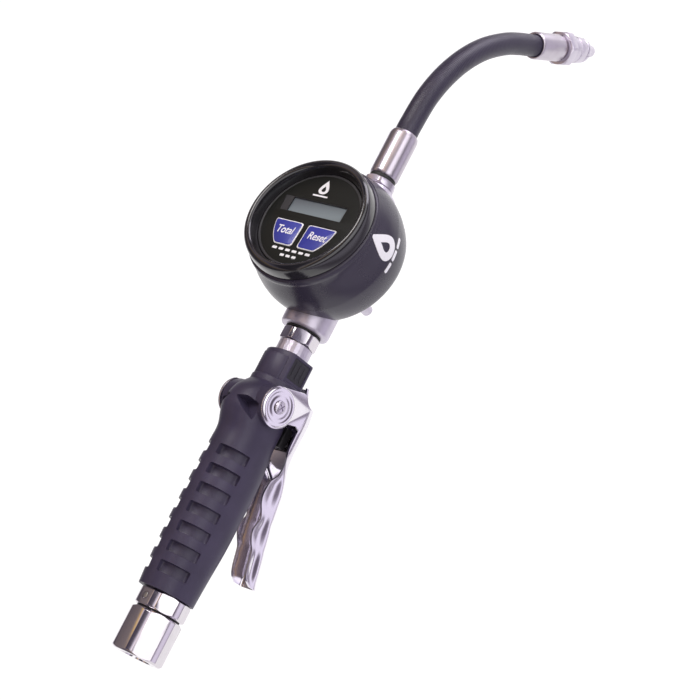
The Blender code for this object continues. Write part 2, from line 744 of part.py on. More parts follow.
def build_boot(meter, face):
    """The rubber boot: a barrel round the meter, open below and cut off under the tilted bezel."""
    boot = turned(
        "rubber_boot",
        [
            (-0.0025, 0.0438),
            (-0.0025, 0.0460),
            (0.0080, 0.0492),
            (0.0200, 0.0506),
            (0.0320, 0.0492),
            (0.0420, 0.0462),
            (0.0560, 0.0450),
            (0.0560, 0.0418),
            (0.0200, 0.0436),
        ],
        "boot_rubber",
        axis="Z",
        segments=48,
        parent=meter,
        location=(METER_X - 0.0012, 0, 0),
    )
    centre = {"parent": meter, "axis": "Z", "segments": 40, "location": (METER_X, 0, 0)}
    cut(boot, rod("boot_top_cut", -0.0091, 0.03, 0.07, None, axis="Z", parent=face))
    cut(boot, rod("case_clearance", -0.04, 0.0, 0.0408, None, axis="Z", segments=40, parent=face))
    cut(boot, rod("housing_clearance", -0.02, HOUSING_TOP + 0.001, 0.0433, None, **centre))
    cut(boot, rod("boss_clearance", 0.22, 0.36, METER_BOSS_RADIUS + GAP, None, parent=meter))
    return boot


def build_extension(extension):
    """The pre-bent hose between its two crimped ferrules, and the nozzle on its end."""
    sleeve("hose_ferrule", FERRULE_START, FERRULE_END, HOSE_RADIUS + GAP, FERRULE_RADIUS, "zinc", parent=extension)
    route = smooth_route([Vector((x, 0, z)) for x, z in HOSE_ROUTE], 2)
    tube("extension_hose", route, HOSE_RADIUS, "hose_rubber", extension)
    nozzle = frame("nozzle_frame", NOZZLE_ENTRY, (0, NOZZLE_BEND, 0), extension)
    sleeve("nozzle_ferrule", 0.0, 0.0305, HOSE_RADIUS + 2 * GAP, FERRULE_RADIUS, "zinc", parent=nozzle)
    nut = prism("nozzle_nut", hexagon(0.0235, 0.0132), 0.0310, 0.0390, "zinc", parent=nozzle)
    cut(nut, rod("nozzle_nut_bore", 0.0, 0.06, 0.0078, None, segments=24, parent=nozzle))
    turned(
        "nozzle_body",
        [
            (0.0220, 0.0040),
            (0.0220, 0.0075),
            (0.0394, 0.0075),
            (0.0394, 0.0100),
            (0.0560, 0.0095),
            (0.0560, 0.0040),
        ],
        "zinc",
        parent=nozzle,
    )
    turned(
        "nozzle_tip",
        [
            (0.0564, 0.0022),
            (0.0564, 0.0094),
            (0.0600, 0.0088),
            (0.0640, 0.0060),
            (0.0690, 0.0046),
            (0.0730, 0.0038),
            (0.0738, 0.0022),
        ],
        "zinc",
        parent=nozzle,
    )


def main():
    """Build the whole gun."""
    clear_scene()
    build_swivel()
    build_valve()
    build_grip()
    build_lever()
    meter = frame("meter_frame", (0, 0, 0), (METER_TURN, 0, 0))
    face = frame("face_frame", (METER_X, 0, FACE_Z), (0, FACE_TILT, 0), meter)
    extension = frame("extension_frame", (0, 0, 0), (EXTENSION_TURN, 0, 0))
    build_adapter()
    build_meter(meter)
    build_register(face)
    build_boot(meter, face)
    build_extension(extension)


main()
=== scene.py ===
"""The looks of a hand-held metered oil dispensing gun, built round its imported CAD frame."""

import json
import logging
import math
from collections.abc import Callable, Sequence
from dataclasses import dataclass, field
from enum import Enum

import bmesh
import bpy
from bpy.types import Material, Object
from mathutils import Matrix, Vector

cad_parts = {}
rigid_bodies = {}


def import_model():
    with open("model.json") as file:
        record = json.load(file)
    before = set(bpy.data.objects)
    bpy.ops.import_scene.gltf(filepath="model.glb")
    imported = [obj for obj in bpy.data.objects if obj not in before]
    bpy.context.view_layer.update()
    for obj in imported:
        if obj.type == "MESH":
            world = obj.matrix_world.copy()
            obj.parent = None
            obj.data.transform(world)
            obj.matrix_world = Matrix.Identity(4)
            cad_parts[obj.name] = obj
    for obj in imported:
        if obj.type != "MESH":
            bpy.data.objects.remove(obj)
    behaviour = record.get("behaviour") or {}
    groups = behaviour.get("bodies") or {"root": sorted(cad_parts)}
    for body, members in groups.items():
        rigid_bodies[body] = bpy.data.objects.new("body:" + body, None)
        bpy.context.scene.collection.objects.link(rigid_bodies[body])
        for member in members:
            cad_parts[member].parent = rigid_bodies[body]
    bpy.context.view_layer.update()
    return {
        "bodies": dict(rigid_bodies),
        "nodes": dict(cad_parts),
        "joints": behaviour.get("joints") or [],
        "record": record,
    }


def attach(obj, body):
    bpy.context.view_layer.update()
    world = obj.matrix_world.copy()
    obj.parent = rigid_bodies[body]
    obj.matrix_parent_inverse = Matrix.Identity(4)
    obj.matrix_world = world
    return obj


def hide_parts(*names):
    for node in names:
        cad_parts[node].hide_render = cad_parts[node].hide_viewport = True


LOG = logging.getLogger("oil_gun")
Point = tuple[float, float]
Colour = tuple[float, float, float]
Place = tuple[float, float, float]

METER_X = 0.294
METER_FRAME = Matrix.Rotation(math.radians(13.9), 4, "X")
FACE_TILT = Matrix.Rotation(math.radians(5.5), 4, "Y")
FACE_FRAME = METER_FRAME @ Matrix.Translation((METER_X, 0, 0.0526)) @ FACE_TILT
ADAPTER_FRAME = Matrix.Rotation(math.radians(-10.5), 4, "X")
HOSE_FRAME = Matrix.Rotation(math.radians(7.0), 4, "X")
NOZZLE_BEND = Matrix.Rotation(math.radians(57.0), 4, "Y")
NOZZLE_FRAME = HOSE_FRAME @ Matrix.Translation((0.5232, 0, -0.0761)) @ NOZZLE_BEND
X_TO_Y = Matrix.Rotation(math.pi / 2, 4, "Z")
X_TO_Z = Matrix.Rotation(-math.pi / 2, 4, "Y")


class Body(Enum):
    """The rigid bodies of the gun that pieces ride on."""

    GUN = "gun"
    SWIVEL = "swivel"
    LEVER = "lever"
    TOTAL_KEY = "total_key"
    RESET_KEY = "reset_key"
    TIP = "tip"


class Operation(Enum):
    """What a cutter does to a piece."""

    CUT = "DIFFERENCE"
    JOIN = "UNION"
    KEEP = "INTERSECT"


# ---------------------------------------------------------------- materials


class Signal:
    """A shader socket that takes part in Python arithmetic; each operator adds one Math node."""

    def __init__(self, sheet: "Sheet", socket: bpy.types.NodeSocket) -> None:
        """Wrap one output socket of a sheet."""
        self.sheet = sheet
        self.socket = socket

    def _math(self, operation: str, *values: "Signal | float") -> "Signal":
        """Add one Math node."""
        return self.sheet.node("ShaderNodeMath", {"operation": operation}, dict(enumerate(values)))

    def __add__(self, other: "Signal | float") -> "Signal":
        """The sum."""
        return self._math("ADD", self, other)

    def __sub__(self, other: "Signal | float") -> "Signal":
        """The difference."""
        return self._math("SUBTRACT", self, other)

    def __mul__(self, other: "Signal | float") -> "Signal":
        """The product."""
        return self._math("MULTIPLY", self, other)

    def sine(self) -> "Signal":
        """The sine."""
        return self._math("SINE", self)


class Sheet:
    """One material's node tree."""

    def __init__(self, name: str) -> None:
        """Start an empty Principled material."""
        self.material = bpy.data.materials.new(name)
        self.material.use_nodes = True
        self.tree = self.material.node_tree
        self.shader = self.tree.nodes["Principled BSDF"]

    def node(
        self, kind: str, settings: dict[str, object], values: dict[int | str, object], out: int | str = 0
    ) -> Signal:
        """Add any node.

        Args:
            kind: the node's type.
            settings: its properties, set first; "stops" are a colour ramp's (position, colour) pairs.
            values: numbers, colours or signals for its input sockets, by index or name.
            out: the output socket that is wanted.

        Returns:
            The wanted output.
        """
        made = self.tree.nodes.new(kind)
        for name, value in settings.items():
            if name == "stops":
                self.stops_on(made.color_ramp, value)
            else:
                setattr(made, name, value)
        for key, value in values.items():
            if isinstance(value, Signal):
                self.tree.links.new(value.socket, made.inputs[key])
            else:
                made.inputs[key].default_value = value
        return Signal(self, made.outputs[out])

    @staticmethod
    def stops_on(ramp: bpy.types.ColorRamp, stops: Sequence[tuple[float, Colour]]) -> None:
        """Set a ramp's stops."""
        while len(ramp.elements) < len(stops):
            ramp.elements.new(1.0)
        for element, (position, colour) in zip(ramp.elements, stops):
            element.position = position
            element.color = (*colour, 1.0)

    def place(self, stretch: Place = (1, 1, 1)) -> Signal:
        """Object coordinates in metres, stretched."""
        where = self.node("ShaderNodeTexCoord", {}, {}, "Object")
        return self.node("ShaderNodeMapping", {}, {"Vector": where, "Scale": stretch})

    def noise(self, where: Signal, scale: float, detail: float = 3.0) -> Signal:
        """Smooth noise from 0 to 1."""
        return self.node("ShaderNodeTexNoise", {}, {"Vector": where, "Scale": scale, "Detail": detail})

    def blend(self, amount: Signal | float, first: Colour | Signal, second: Colour | Signal) -> Signal:
        """Mix two colours."""
        colours = [c if isinstance(c, Signal) else (*c, 1.0) for c in (first, second)]
        return self.node("ShaderNodeMix", {"data_type": "RGBA"}, {0: amount, 6: colours[0], 7: colours[1]}, 2)

    def bump(self, height: Signal, distance: float) -> None:
        """Raise the surface by a height from 0 to 1 over a distance in metres."""
        values = {"Height": height, "Distance": distance}
        normal = self.node("ShaderNodeBump", {}, values)
        self.tree.links.new(normal.socket, self.shader.inputs["Normal"])

    def feed(self, name: str, value: object) -> None:
        """Set or link one socket of the Principled shader."""
        if isinstance(value, Signal):
            self.tree.links.new(value.socket, self.shader.inputs[name])
        else:
            self.shader.inputs[name].default_value = value


@dataclass(frozen=True)
class Finish:
    """A surface with soft colour variation, uneven gloss and a fine grain."""

    name: str
    colour: Colour
    second: Colour
    roughness: float
    metallic: float = 0.0
    coat: float = 0.0
    mottle: float = 90.0
    unevenness: float = 0.08
    grain: float = 1500.0
    depth: float = 0.00004
    specular: float = 0.5
    stretch: Place = (1, 1, 1)

    def material(self) -> Material:
        """The finish as a material, made once."""
        name = f"{self.name}_look"
        if name not in bpy.data.materials:
            self.dress(Sheet(name))
        return bpy.data.materials[name]

    def dress(self, sheet: Sheet) -> None:
        """Lay the finish's nodes."""
        where = sheet.place(self.stretch)
        patches = sheet.noise(where, self.mottle)
        fine = sheet.noise(where, self.grain, 2.0)
        sheet.feed("Base Color", sheet.blend(patches, self.colour, self.second))
        middle = self.roughness - self.unevenness / 2
        sheet.feed("Roughness", patches * self.unevenness + fine * 0.04 + middle)
        sheet.feed("Metallic", self.metallic)
        sheet.feed("Specular IOR Level", self.specular)
        sheet.feed("Coat Weight", self.coat)
        sheet.feed("Coat Roughness", 0.08)
        sheet.bump(fine, self.depth)


@dataclass(frozen=True)
class ClothWrapped(Finish):
    """Hose rubber with the fine print of the cloth that it was cured in, laid along the hose's own UV map."""

    turns: float = 190.0

    def dress(self, sheet: Sheet) -> None:
        """Lay a fine cross weave and a slight spiral lap."""
        uv = sheet.node("ShaderNodeUVMap", {"uv_map": "wrap"}, {})
        around = sheet.node("ShaderNodeSeparateXYZ", {}, {0: uv}, 0)
        length = sheet.node("ShaderNodeSeparateXYZ", {}, {0: uv}, 1)
        weft = (length * (self.turns * math.tau)).sine()
        warp = (around * (64 * math.tau)).sine()
        lap = (length * (9 * math.tau) + around * math.tau).sine()
        patches = sheet.noise(sheet.place(), self.mottle)
        weave = weft * 0.3 + warp * 0.2 + 0.5
        sheet.feed("Base Color", sheet.blend(patches * 0.6 + weave * 0.4, self.colour, self.second))
        middle = self.roughness - self.unevenness / 2
        sheet.feed("Roughness", patches * self.unevenness + weave * 0.06 + middle)
        sheet.bump(weave * 0.8 + lap * 0.2, self.depth)


@dataclass(frozen=True)
class Screen(Finish):
    """A reflective liquid crystal panel with painted shade: pale below, darkened towards the frame's upper
    edge as if shaded by it.
    """

    def dress(self, sheet: Sheet) -> None:
        """Lay the panel's painted shade, from its pale lower edge to its darker upper edge under the frame.
        """
        where = sheet.node("ShaderNodeTexCoord", {}, {}, "Object")
        dot = {"operation": "DOT_PRODUCT"}
        along = sheet.node("ShaderNodeVectorMath", dot, {0: where, 1: (1.0, 0.0, 0.0)}, 1)
        across = sheet.node("ShaderNodeVectorMath", dot, {0: where, 1: (0.0, 1.0, 0.24)}, 1)
        low = METER_X + 0.0046
        # painted shade: blends the pale colour into the dark second colour towards the panel's upper edge,
        # under the frame
        shade = (along - low) * 62.0 + (across - 0.002) * 9.0
        cells = sheet.noise(sheet.place(), 2600.0, 1.0)
        sheet.feed("Base Color", sheet.blend(shade + cells * 0.04, self.colour, self.second))
        sheet.feed("Roughness", self.roughness)
        sheet.feed("Coat Weight", self.coat)
        sheet.feed("Coat Roughness", 0.05)


ZINC = Finish(
    "zinc", (0.74, 0.71, 0.75), (0.64, 0.60, 0.64), 0.13, 1.0, mottle=160, grain=900, depth=0.00001
)
FERRULE = Finish(
    "ferrule_zinc", (0.60, 0.56, 0.62), (0.48, 0.44, 0.49), 0.30, 1.0, mottle=110, grain=700, depth=0.000006
)
PALE_ZINC = Finish(
    "pale_zinc", (0.66, 0.62, 0.70), (0.56, 0.52, 0.60), 0.28, 0.95, mottle=130, grain=900, depth=0.00002
)
CHROME = Finish(
    "chrome", (0.84, 0.81, 0.87), (0.78, 0.75, 0.81), 0.13, 1.0, mottle=70, unevenness=0.03, depth=0.000001
)
CASTING = Finish(
    "cast_aluminium", (0.68, 0.64, 0.73), (0.56, 0.52, 0.60), 0.38, 0.85,
    mottle=240, grain=1400, depth=0.00008,
)
STEEL = Finish("machined_steel", (0.58, 0.58, 0.60), (0.48, 0.48, 0.50), 0.30, 1.0, stretch=(1, 1, 6))
BRASS = Finish("brass", (0.78, 0.60, 0.30), (0.68, 0.50, 0.24), 0.28, 1.0)
GRIP = Finish(
    "grip_plastic", (0.064, 0.052, 0.100), (0.030, 0.025, 0.048), 0.42,
    specular=0.42, mottle=45, unevenness=0.10, depth=0.00005,
)
PANEL = Finish("grip_panel", (0.030, 0.028, 0.038), (0.020, 0.019, 0.026), 0.60, grain=1100, depth=0.00012)
BOOT = Finish(
    "boot_rubber", (0.040, 0.034, 0.058), (0.026, 0.022, 0.038), 0.25,
    specular=0.45, mottle=30, unevenness=0.12, depth=0.00003,
)
BEZEL = Finish(
    "gloss_black", (0.010, 0.010, 0.012), (0.014, 0.013, 0.016), 0.16,
    coat=0.6, mottle=40, unevenness=0.06, depth=0.000004,
)
DIAL = Finish(
    "dial_print", (0.006, 0.0065, 0.005), (0.008, 0.0085, 0.0065), 0.42,
    specular=0.2, mottle=60, grain=2500, depth=0.00001,
)
PLASTIC = Finish("black_plastic", (0.016, 0.015, 0.018), (0.022, 0.021, 0.024), 0.42)
SEAL = Finish("seal_rubber", (0.012, 0.012, 0.013), (0.018, 0.018, 0.018), 0.55)
WHITE = Finish("white_print", (0.92, 0.92, 0.94), (0.86, 0.86, 0.89), 0.45, depth=0.00001)
BLUE = Finish(
    "key_blue", (0.030, 0.040, 0.36), (0.024, 0.032, 0.29), 0.38, coat=0.15, mottle=120, depth=0.00001
)
# the second colour is the painted shade under the display frame's upper edge
SCREEN = Screen("lcd_panel", (0.20, 0.245, 0.26), (0.045, 0.050, 0.065), 0.30, coat=0.3)
HOSE = ClothWrapped(
    "hose_rubber", (0.016, 0.013, 0.027), (0.044, 0.037, 0.068), 0.34,
    specular=0.4, mottle=60, depth=0.00012,
)
GEAR = Finish("gear_polymer", (0.78, 0.76, 0.69), (0.70, 0.68, 0.62), 0.42)
BOARD = Finish("circuit_board", (0.03, 0.20, 0.10), (0.02, 0.14, 0.07), 0.40, mottle=400)
CELL = Finish("battery_sleeve", (0.10, 0.11, 0.12), (0.07, 0.08, 0.09), 0.35, coat=0.3)


# ---------------------------------------------------------------- modelling


def fresh(name: str, start: Callable[..., object], **settings: object) -> Object:
    """Add a primitive with nothing else selected.

    Args:
        name: the new object's name.
        start: the operator that adds it.
        settings: the operator's own settings.

    Returns:
        The new object, in object mode.
    """
    bpy.ops.object.select_all(action="DESELECT")
    start(**settings)
    thing = bpy.context.object
    thing.name = thing.data.name = name
    return thing


def editing(thing: Object, *steps: Callable[[], object], mode: str = "VERT") -> None:
    """Run steps in edit mode on everything of one object."""
    bpy.ops.object.select_all(action="DESELECT")
    thing.select_set(True)
    bpy.context.view_layer.objects.active = thing
    bpy.ops.object.mode_set(mode="EDIT")
    bpy.ops.mesh.select_mode(type=mode)
    bpy.ops.mesh.select_all(action="SELECT")
    for step in steps:
        step()
    bpy.ops.object.mode_set(mode="OBJECT")


def tidy() -> None:
    """Merge doubles and turn the faces outwards, in edit mode."""
    bpy.ops.mesh.select_all(action="SELECT")
    bpy.ops.mesh.remove_doubles(threshold=1e-6)
    bpy.ops.mesh.normals_make_consistent(inside=False)


def outline(name: str, points: Sequence[Sequence[float]], filled: bool) -> Object:
    """A ring of points, from a circle whose corners are carried to their places."""
    fill = "NGON" if filled else "NOTHING"
    ring = fresh(name, bpy.ops.mesh.primitive_circle_add, vertices=len(points), radius=0.01, fill_type=fill)
    for vertex, point in zip(ring.data.vertices, points):
        vertex.co = point
    return ring


def rounded(points: Sequence[Point], radius: float, steps: int = 3, ends: bool = True) -> list[Point]:
    """Round the corners of a profile.

    Args:
        points: the profile's corners.
        radius: how far back along its edges each corner starts to turn, at most.
        steps: pieces in each corner's curve.
        ends: whether the profile closes on itself.

    Returns:
        The profile with its corners turned into short curves.
    """
    count = len(points)
    result: list[Point] = []
    for k, point in enumerate(points):
        if not ends and k in (0, count - 1):
            result.append(point)
            continue
        corner = Vector(point)
        before, after = Vector(points[k - 1]) - corner, Vector(points[(k + 1) % count]) - corner
        reach = min(radius, before.length * 0.45, after.length * 0.45)
        if reach < 1e-6 or before.angle(after, math.pi) > math.radians(172):
            result.append(point)
            continue
        start, stop = corner + before.normalized() * reach, corner + after.normalized() * reach
        for step in range(steps + 1):
            t = step / steps
            spot = start * (1 - t) ** 2 + corner * (2 * t * (1 - t)) + stop * t**2
            result.append((spot.x, spot.y))
    return result


def lathe(name: str, profile: Sequence[Point], segments: int = 64, soft: float = 0.0004) -> Object:
    """Turn a profile of (distance along X, radius) about X, with its corners softened."""
    solid = min(radius for _, radius in profile) < 1e-7
    points = [(x, radius, 0.0) for x, radius in rounded(profile, soft, ends=not solid)]
    ring = outline(name, points, False)
    last = len(points) - 1

    def open_axis() -> None:
        """Take away the edge that would lie on the axis."""
        mesh = bmesh.from_edit_mesh(ring.data)
        for edge in mesh.edges:
            edge.select_set({v.index for v in edge.verts} == {0, last})
        bmesh.update_edit_mesh(ring.data)
        bpy.ops.mesh.delete(type="EDGE")
        bpy.ops.mesh.select_all(action="SELECT")

    def turn() -> None:
        """Spin the profile all the way round."""
        centre, along = (0, 0, 0), (1, 0, 0)
        bpy.ops.mesh.spin(steps=segments, angle=math.tau, use_auto_merge=True, center=centre, axis=along)

    steps = [open_axis, turn, tidy] if solid else [turn, tidy]
    editing(ring, *steps, mode="EDGE")
    return ring


def rod(
    name: str, start: float, stop: float, radius: float, segments: int = 64, soft: float = 0.0004
) -> Object:
    """A plain cylinder along X."""
    return lathe(name, [(start, 0), (start, radius), (stop, radius), (stop, 0)], segments, soft)


def sleeve(
    name: str, start: float, stop: float, inner: float, outer: float, segments: int = 64, soft: float = 0.0004
) -> Object:
    """A plain tube along X."""
    return lathe(name, [(start, inner), (start, outer), (stop, outer), (stop, inner)], segments, soft)


def rectangle(low: Point, high: Point, radius: float) -> list[Point]:
    """A rectangle between two corners, with its own corners rounded."""
    return rounded([low, (high[0], low[1]), high, (low[0], high[1])], radius)


def slab(name: str, points: Sequence[Point], low: float, high: float, plane: str = "YZ") -> Object:
    """A filled outline in a plane, pushed out between two heights across it."""
    axis = {"YZ": 0, "XZ": 1, "XY": 2}[plane]

    def put(pair: Point, height: float) -> list[float]:
        """One outline point in space."""
        spot = list(pair)
        spot.insert(axis, height)
        return spot

    push = Vector(put((0, 0), high - low))
    piece = outline(name, [put(pair, low) for pair in points], True)
    editing(piece, lambda: bpy.ops.mesh.extrude_region_move(TRANSFORM_OT_translate={"value": push}), tidy)
    return piece


def wrap(name: str, rings: Sequence[Sequence[Sequence[float]]], uv: str = "") -> Object:
    """A grid wrapped round a row of equal rings, closed at both ends."""
    across = len(rings[0])
    cells = {"x_subdivisions": across, "y_subdivisions": len(rings) - 1}
    grid = fresh(name, bpy.ops.mesh.primitive_grid_add, size=0.1, **cells)
    columns = across + 1
    for vertex in grid.data.vertices:
        row, column = divmod(vertex.index, columns)
        vertex.co = rings[row][column % across]
    layer = grid.data.uv_layers.active
    if uv and layer:
        layer.name = uv
    editing(grid, tidy, lambda: bpy.ops.mesh.fill_holes(sides=0), tidy)
    return grid


def modify(thing: Object, kind: str, **settings: object) -> Object:
    """Add one modifier to a piece and apply it."""
    bpy.ops.object.select_all(action="DESELECT")
    thing.select_set(True)
    bpy.context.view_layer.objects.active = thing
    change = thing.modifiers.new(kind.lower(), kind)
    for name, value in settings.items():
        setattr(change, name, value)
    bpy.ops.object.modifier_apply(modifier=change.name)
    return thing


def carve(thing: Object, operation: Operation, *tools: Object) -> Object:
    """Cut, join or keep with each tool in turn, and throw the tools away."""
    for tool in tools:
        modify(thing, "BOOLEAN", operation=operation.value, solver="EXACT", object=tool)
        bpy.data.objects.remove(tool)
    return thing


def soften(thing: Object, width: float, angle: float = 35.0, segments: int = 2) -> Object:
    """Bevel the sharp edges."""
    limit = math.radians(angle)
    return modify(thing, "BEVEL", width=width, segments=segments, limit_method="ANGLE", angle_limit=limit)


def joined(name: str, parts: Sequence[Object]) -> Object:
    """Several meshes as one piece."""
    bpy.ops.object.select_all(action="DESELECT")
    for part in parts:
        part.select_set(True)
    bpy.context.view_layer.objects.active = parts[0]
    bpy.ops.object.join()
    parts[0].name = parts[0].data.name = name
    return parts[0]


def seat(thing: Object, where: Matrix) -> Object:
    """Carry a piece to its place and leave its object at the origin."""
    bpy.ops.object.select_all(action="DESELECT")
    thing.select_set(True)
    bpy.context.view_layer.objects.active = thing
    thing.matrix_world = where @ thing.matrix_world
    bpy.ops.object.transform_apply(location=True, rotation=True, scale=True)
    return thing


def hand_over(
    thing: Object, finish: Finish, body: Body, nodes: Sequence[str] = (), angle: float = 30.0
) -> Object:
    """Shade, dress and mount one finished piece.

    Args:
        thing: the piece, in its place.
        finish: its surface.
        body: the rigid body that it rides on.
        nodes: the CAD nodes that it stands for.
        angle: edges sharper than this stay sharp, in degrees.

    Returns:
        The same piece.
    """
    bpy.ops.object.select_all(action="DESELECT")
    thing.select_set(True)
    bpy.context.view_layer.objects.active = thing
    bpy.ops.object.shade_smooth_by_angle(angle=math.radians(angle))
    thing.data.materials.clear()
    thing.data.materials.append(finish.material())
    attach(thing, body.value)
    if nodes:
        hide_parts(*nodes)
    LOG.info("%s: %d faces, rides on %s", thing.name, len(thing.data.polygons), body.value)
    return thing


def hexagon(flats: float) -> list[Point]:
    """A hexagon in YZ with flats facing +Z and -Z."""
    reach = flats / 2 / math.cos(math.pi / 6)
    turns = [math.radians(60 * k) for k in range(6)]
    return [(reach * math.cos(a), reach * math.sin(a)) for a in turns]


def hex_nut(
    name: str, flats: float, start: float, stop: float, bore: float, corner: float, turn: float = 1.4
) -> Object:
    """A hexagon with turned ends and a bore along X.

    Args:
        name: the piece's name.
        flats: its size across the flats.
        start: its first station.
        stop: its last station.
        bore: the hole's radius.
        corner: the radius that its corners are turned to.
        turn: how far from each end the corners are chamfered, in millimetres.

    Returns:
        The nut.
    """
    depth = turn * 0.001
    face = flats / 2 * 0.985
    nut = slab(name, hexagon(flats), start, stop)
    blank = [(start, bore), (start, face), (start + depth, corner)]
    blank += [(stop - depth, corner), (stop, face), (stop, bore)]
    carve(nut, Operation.KEEP, lathe(f"{name}_blank", blank, 96, 0.0002))
    return soften(nut, 0.00022, 25)


def blend_curve(table: Sequence[Sequence[float]], steps: int) -> list[list[float]]:
    """Fill a table of stations in with a smooth curve through its rows."""
    rows = [Vector(row) for row in table]
    ends = [rows[0] * 2 - rows[1], *rows, rows[-1] * 2 - rows[-2]]
    filled: list[list[float]] = []
    for a, b, c, d in zip(ends, ends[1:], ends[2:], ends[3:]):
        for step in range(steps):
            t = step / steps
            curve = (a * 2 - b * 5 + c * 4 - d) * t**2 + (b * 3 - a - c * 3 + d) * t**3
            filled.append(list((b * 2 + (c - a) * t + curve) * 0.5))
    return [*filled, list(rows[-1])]


def drop_outline(height: float, width: float, count: int = 40) -> list[Point]:
    """An oil drop with its point up, as (up, across) pairs about its middle."""
    points = []
    for k in range(count):
        a = math.tau * k / count
        pinch = math.sin(a / 2) ** 1.6
        points.append((height / 2 * math.cos(a), width / 2 * math.sin(a) * pinch * 1.18))
    return points


# ---------------------------------------------------------------- sub-assemblies


@dataclass
class Swivel:
    """The free inlet nut, the fixed hexagon behind it and what shows between them."""

    flats: float = 0.032
    corner: float = 0.0173
    nut_length: float = 0.0292
    bore: float = 0.0096
    race: float = 0.0118
    hex_start: float = 0.0303
    hex_stop: float = 0.0421

    def build(self) -> None:
        """Build and dress the nut and the hexagon."""
        nut = hex_nut("swivel_nut_body", self.flats, 0.0, self.nut_length, self.bore * 0.99, self.corner)
        carve(nut, Operation.CUT, self.thread(), self.race_way())
        hand_over(nut, ZINC, Body.SWIVEL, ["swivel_nut"])
        span = (self.hex_start, self.hex_stop)
        fixed = hex_nut("fixed_hex_body", self.flats, *span, 0.0123, self.corner - 0.0002, 1.1)
        hole = seat(rod("plug_hole", 0.0140, 0.0200, 0.0025, 32), X_TO_Z)
        seat(hole, Matrix.Translation((0.0363, 0, 0)))
        carve(fixed, Operation.CUT, hole)
        hand_over(fixed, ZINC, Body.GUN, ["inlet_hex"])
        plug = rod("filling_plug", 0.0130, 0.0163, 0.0021, 32, 0.0005)
        seat(plug, Matrix.Translation((0.0363, 0, 0)) @ X_TO_Z)
        hand_over(plug, STEEL, Body.GUN, ["race_plug"])
        washer = [(0.0293, 0.0093), (0.0293, 0.0147), (0.0302, 0.0147), (0.0302, 0.0093)]
        hand_over(lathe("swivel_wiper", washer, 72, 0.0003), SEAL, Body.GUN, ["swivel_seal"])

    def thread(self) -> Object:
        """The cutter for the tapped mouth, with its turns as rings."""
        profile = [(-0.001, 0.0), (-0.001, self.bore + 0.0012), (0.0008, self.bore + 0.0002)]
        crest, root, pitch = self.bore - 0.0001, self.bore + 0.0008, 0.0018
        for k in range(8):
            x = 0.0012 + k * pitch
            profile += [(x, crest), (x + 0.0007, root), (x + 0.0014, crest)]
        profile += [(0.0165, self.bore), (0.0165, 0.0)]
        return lathe("mouth_cutter", profile, 64, 0.0001)

    def race_way(self) -> Object:
        """The cutter for the bore that the ball race runs in."""
        return rod("race_cutter", 0.0160, 0.04, self.race, 64)


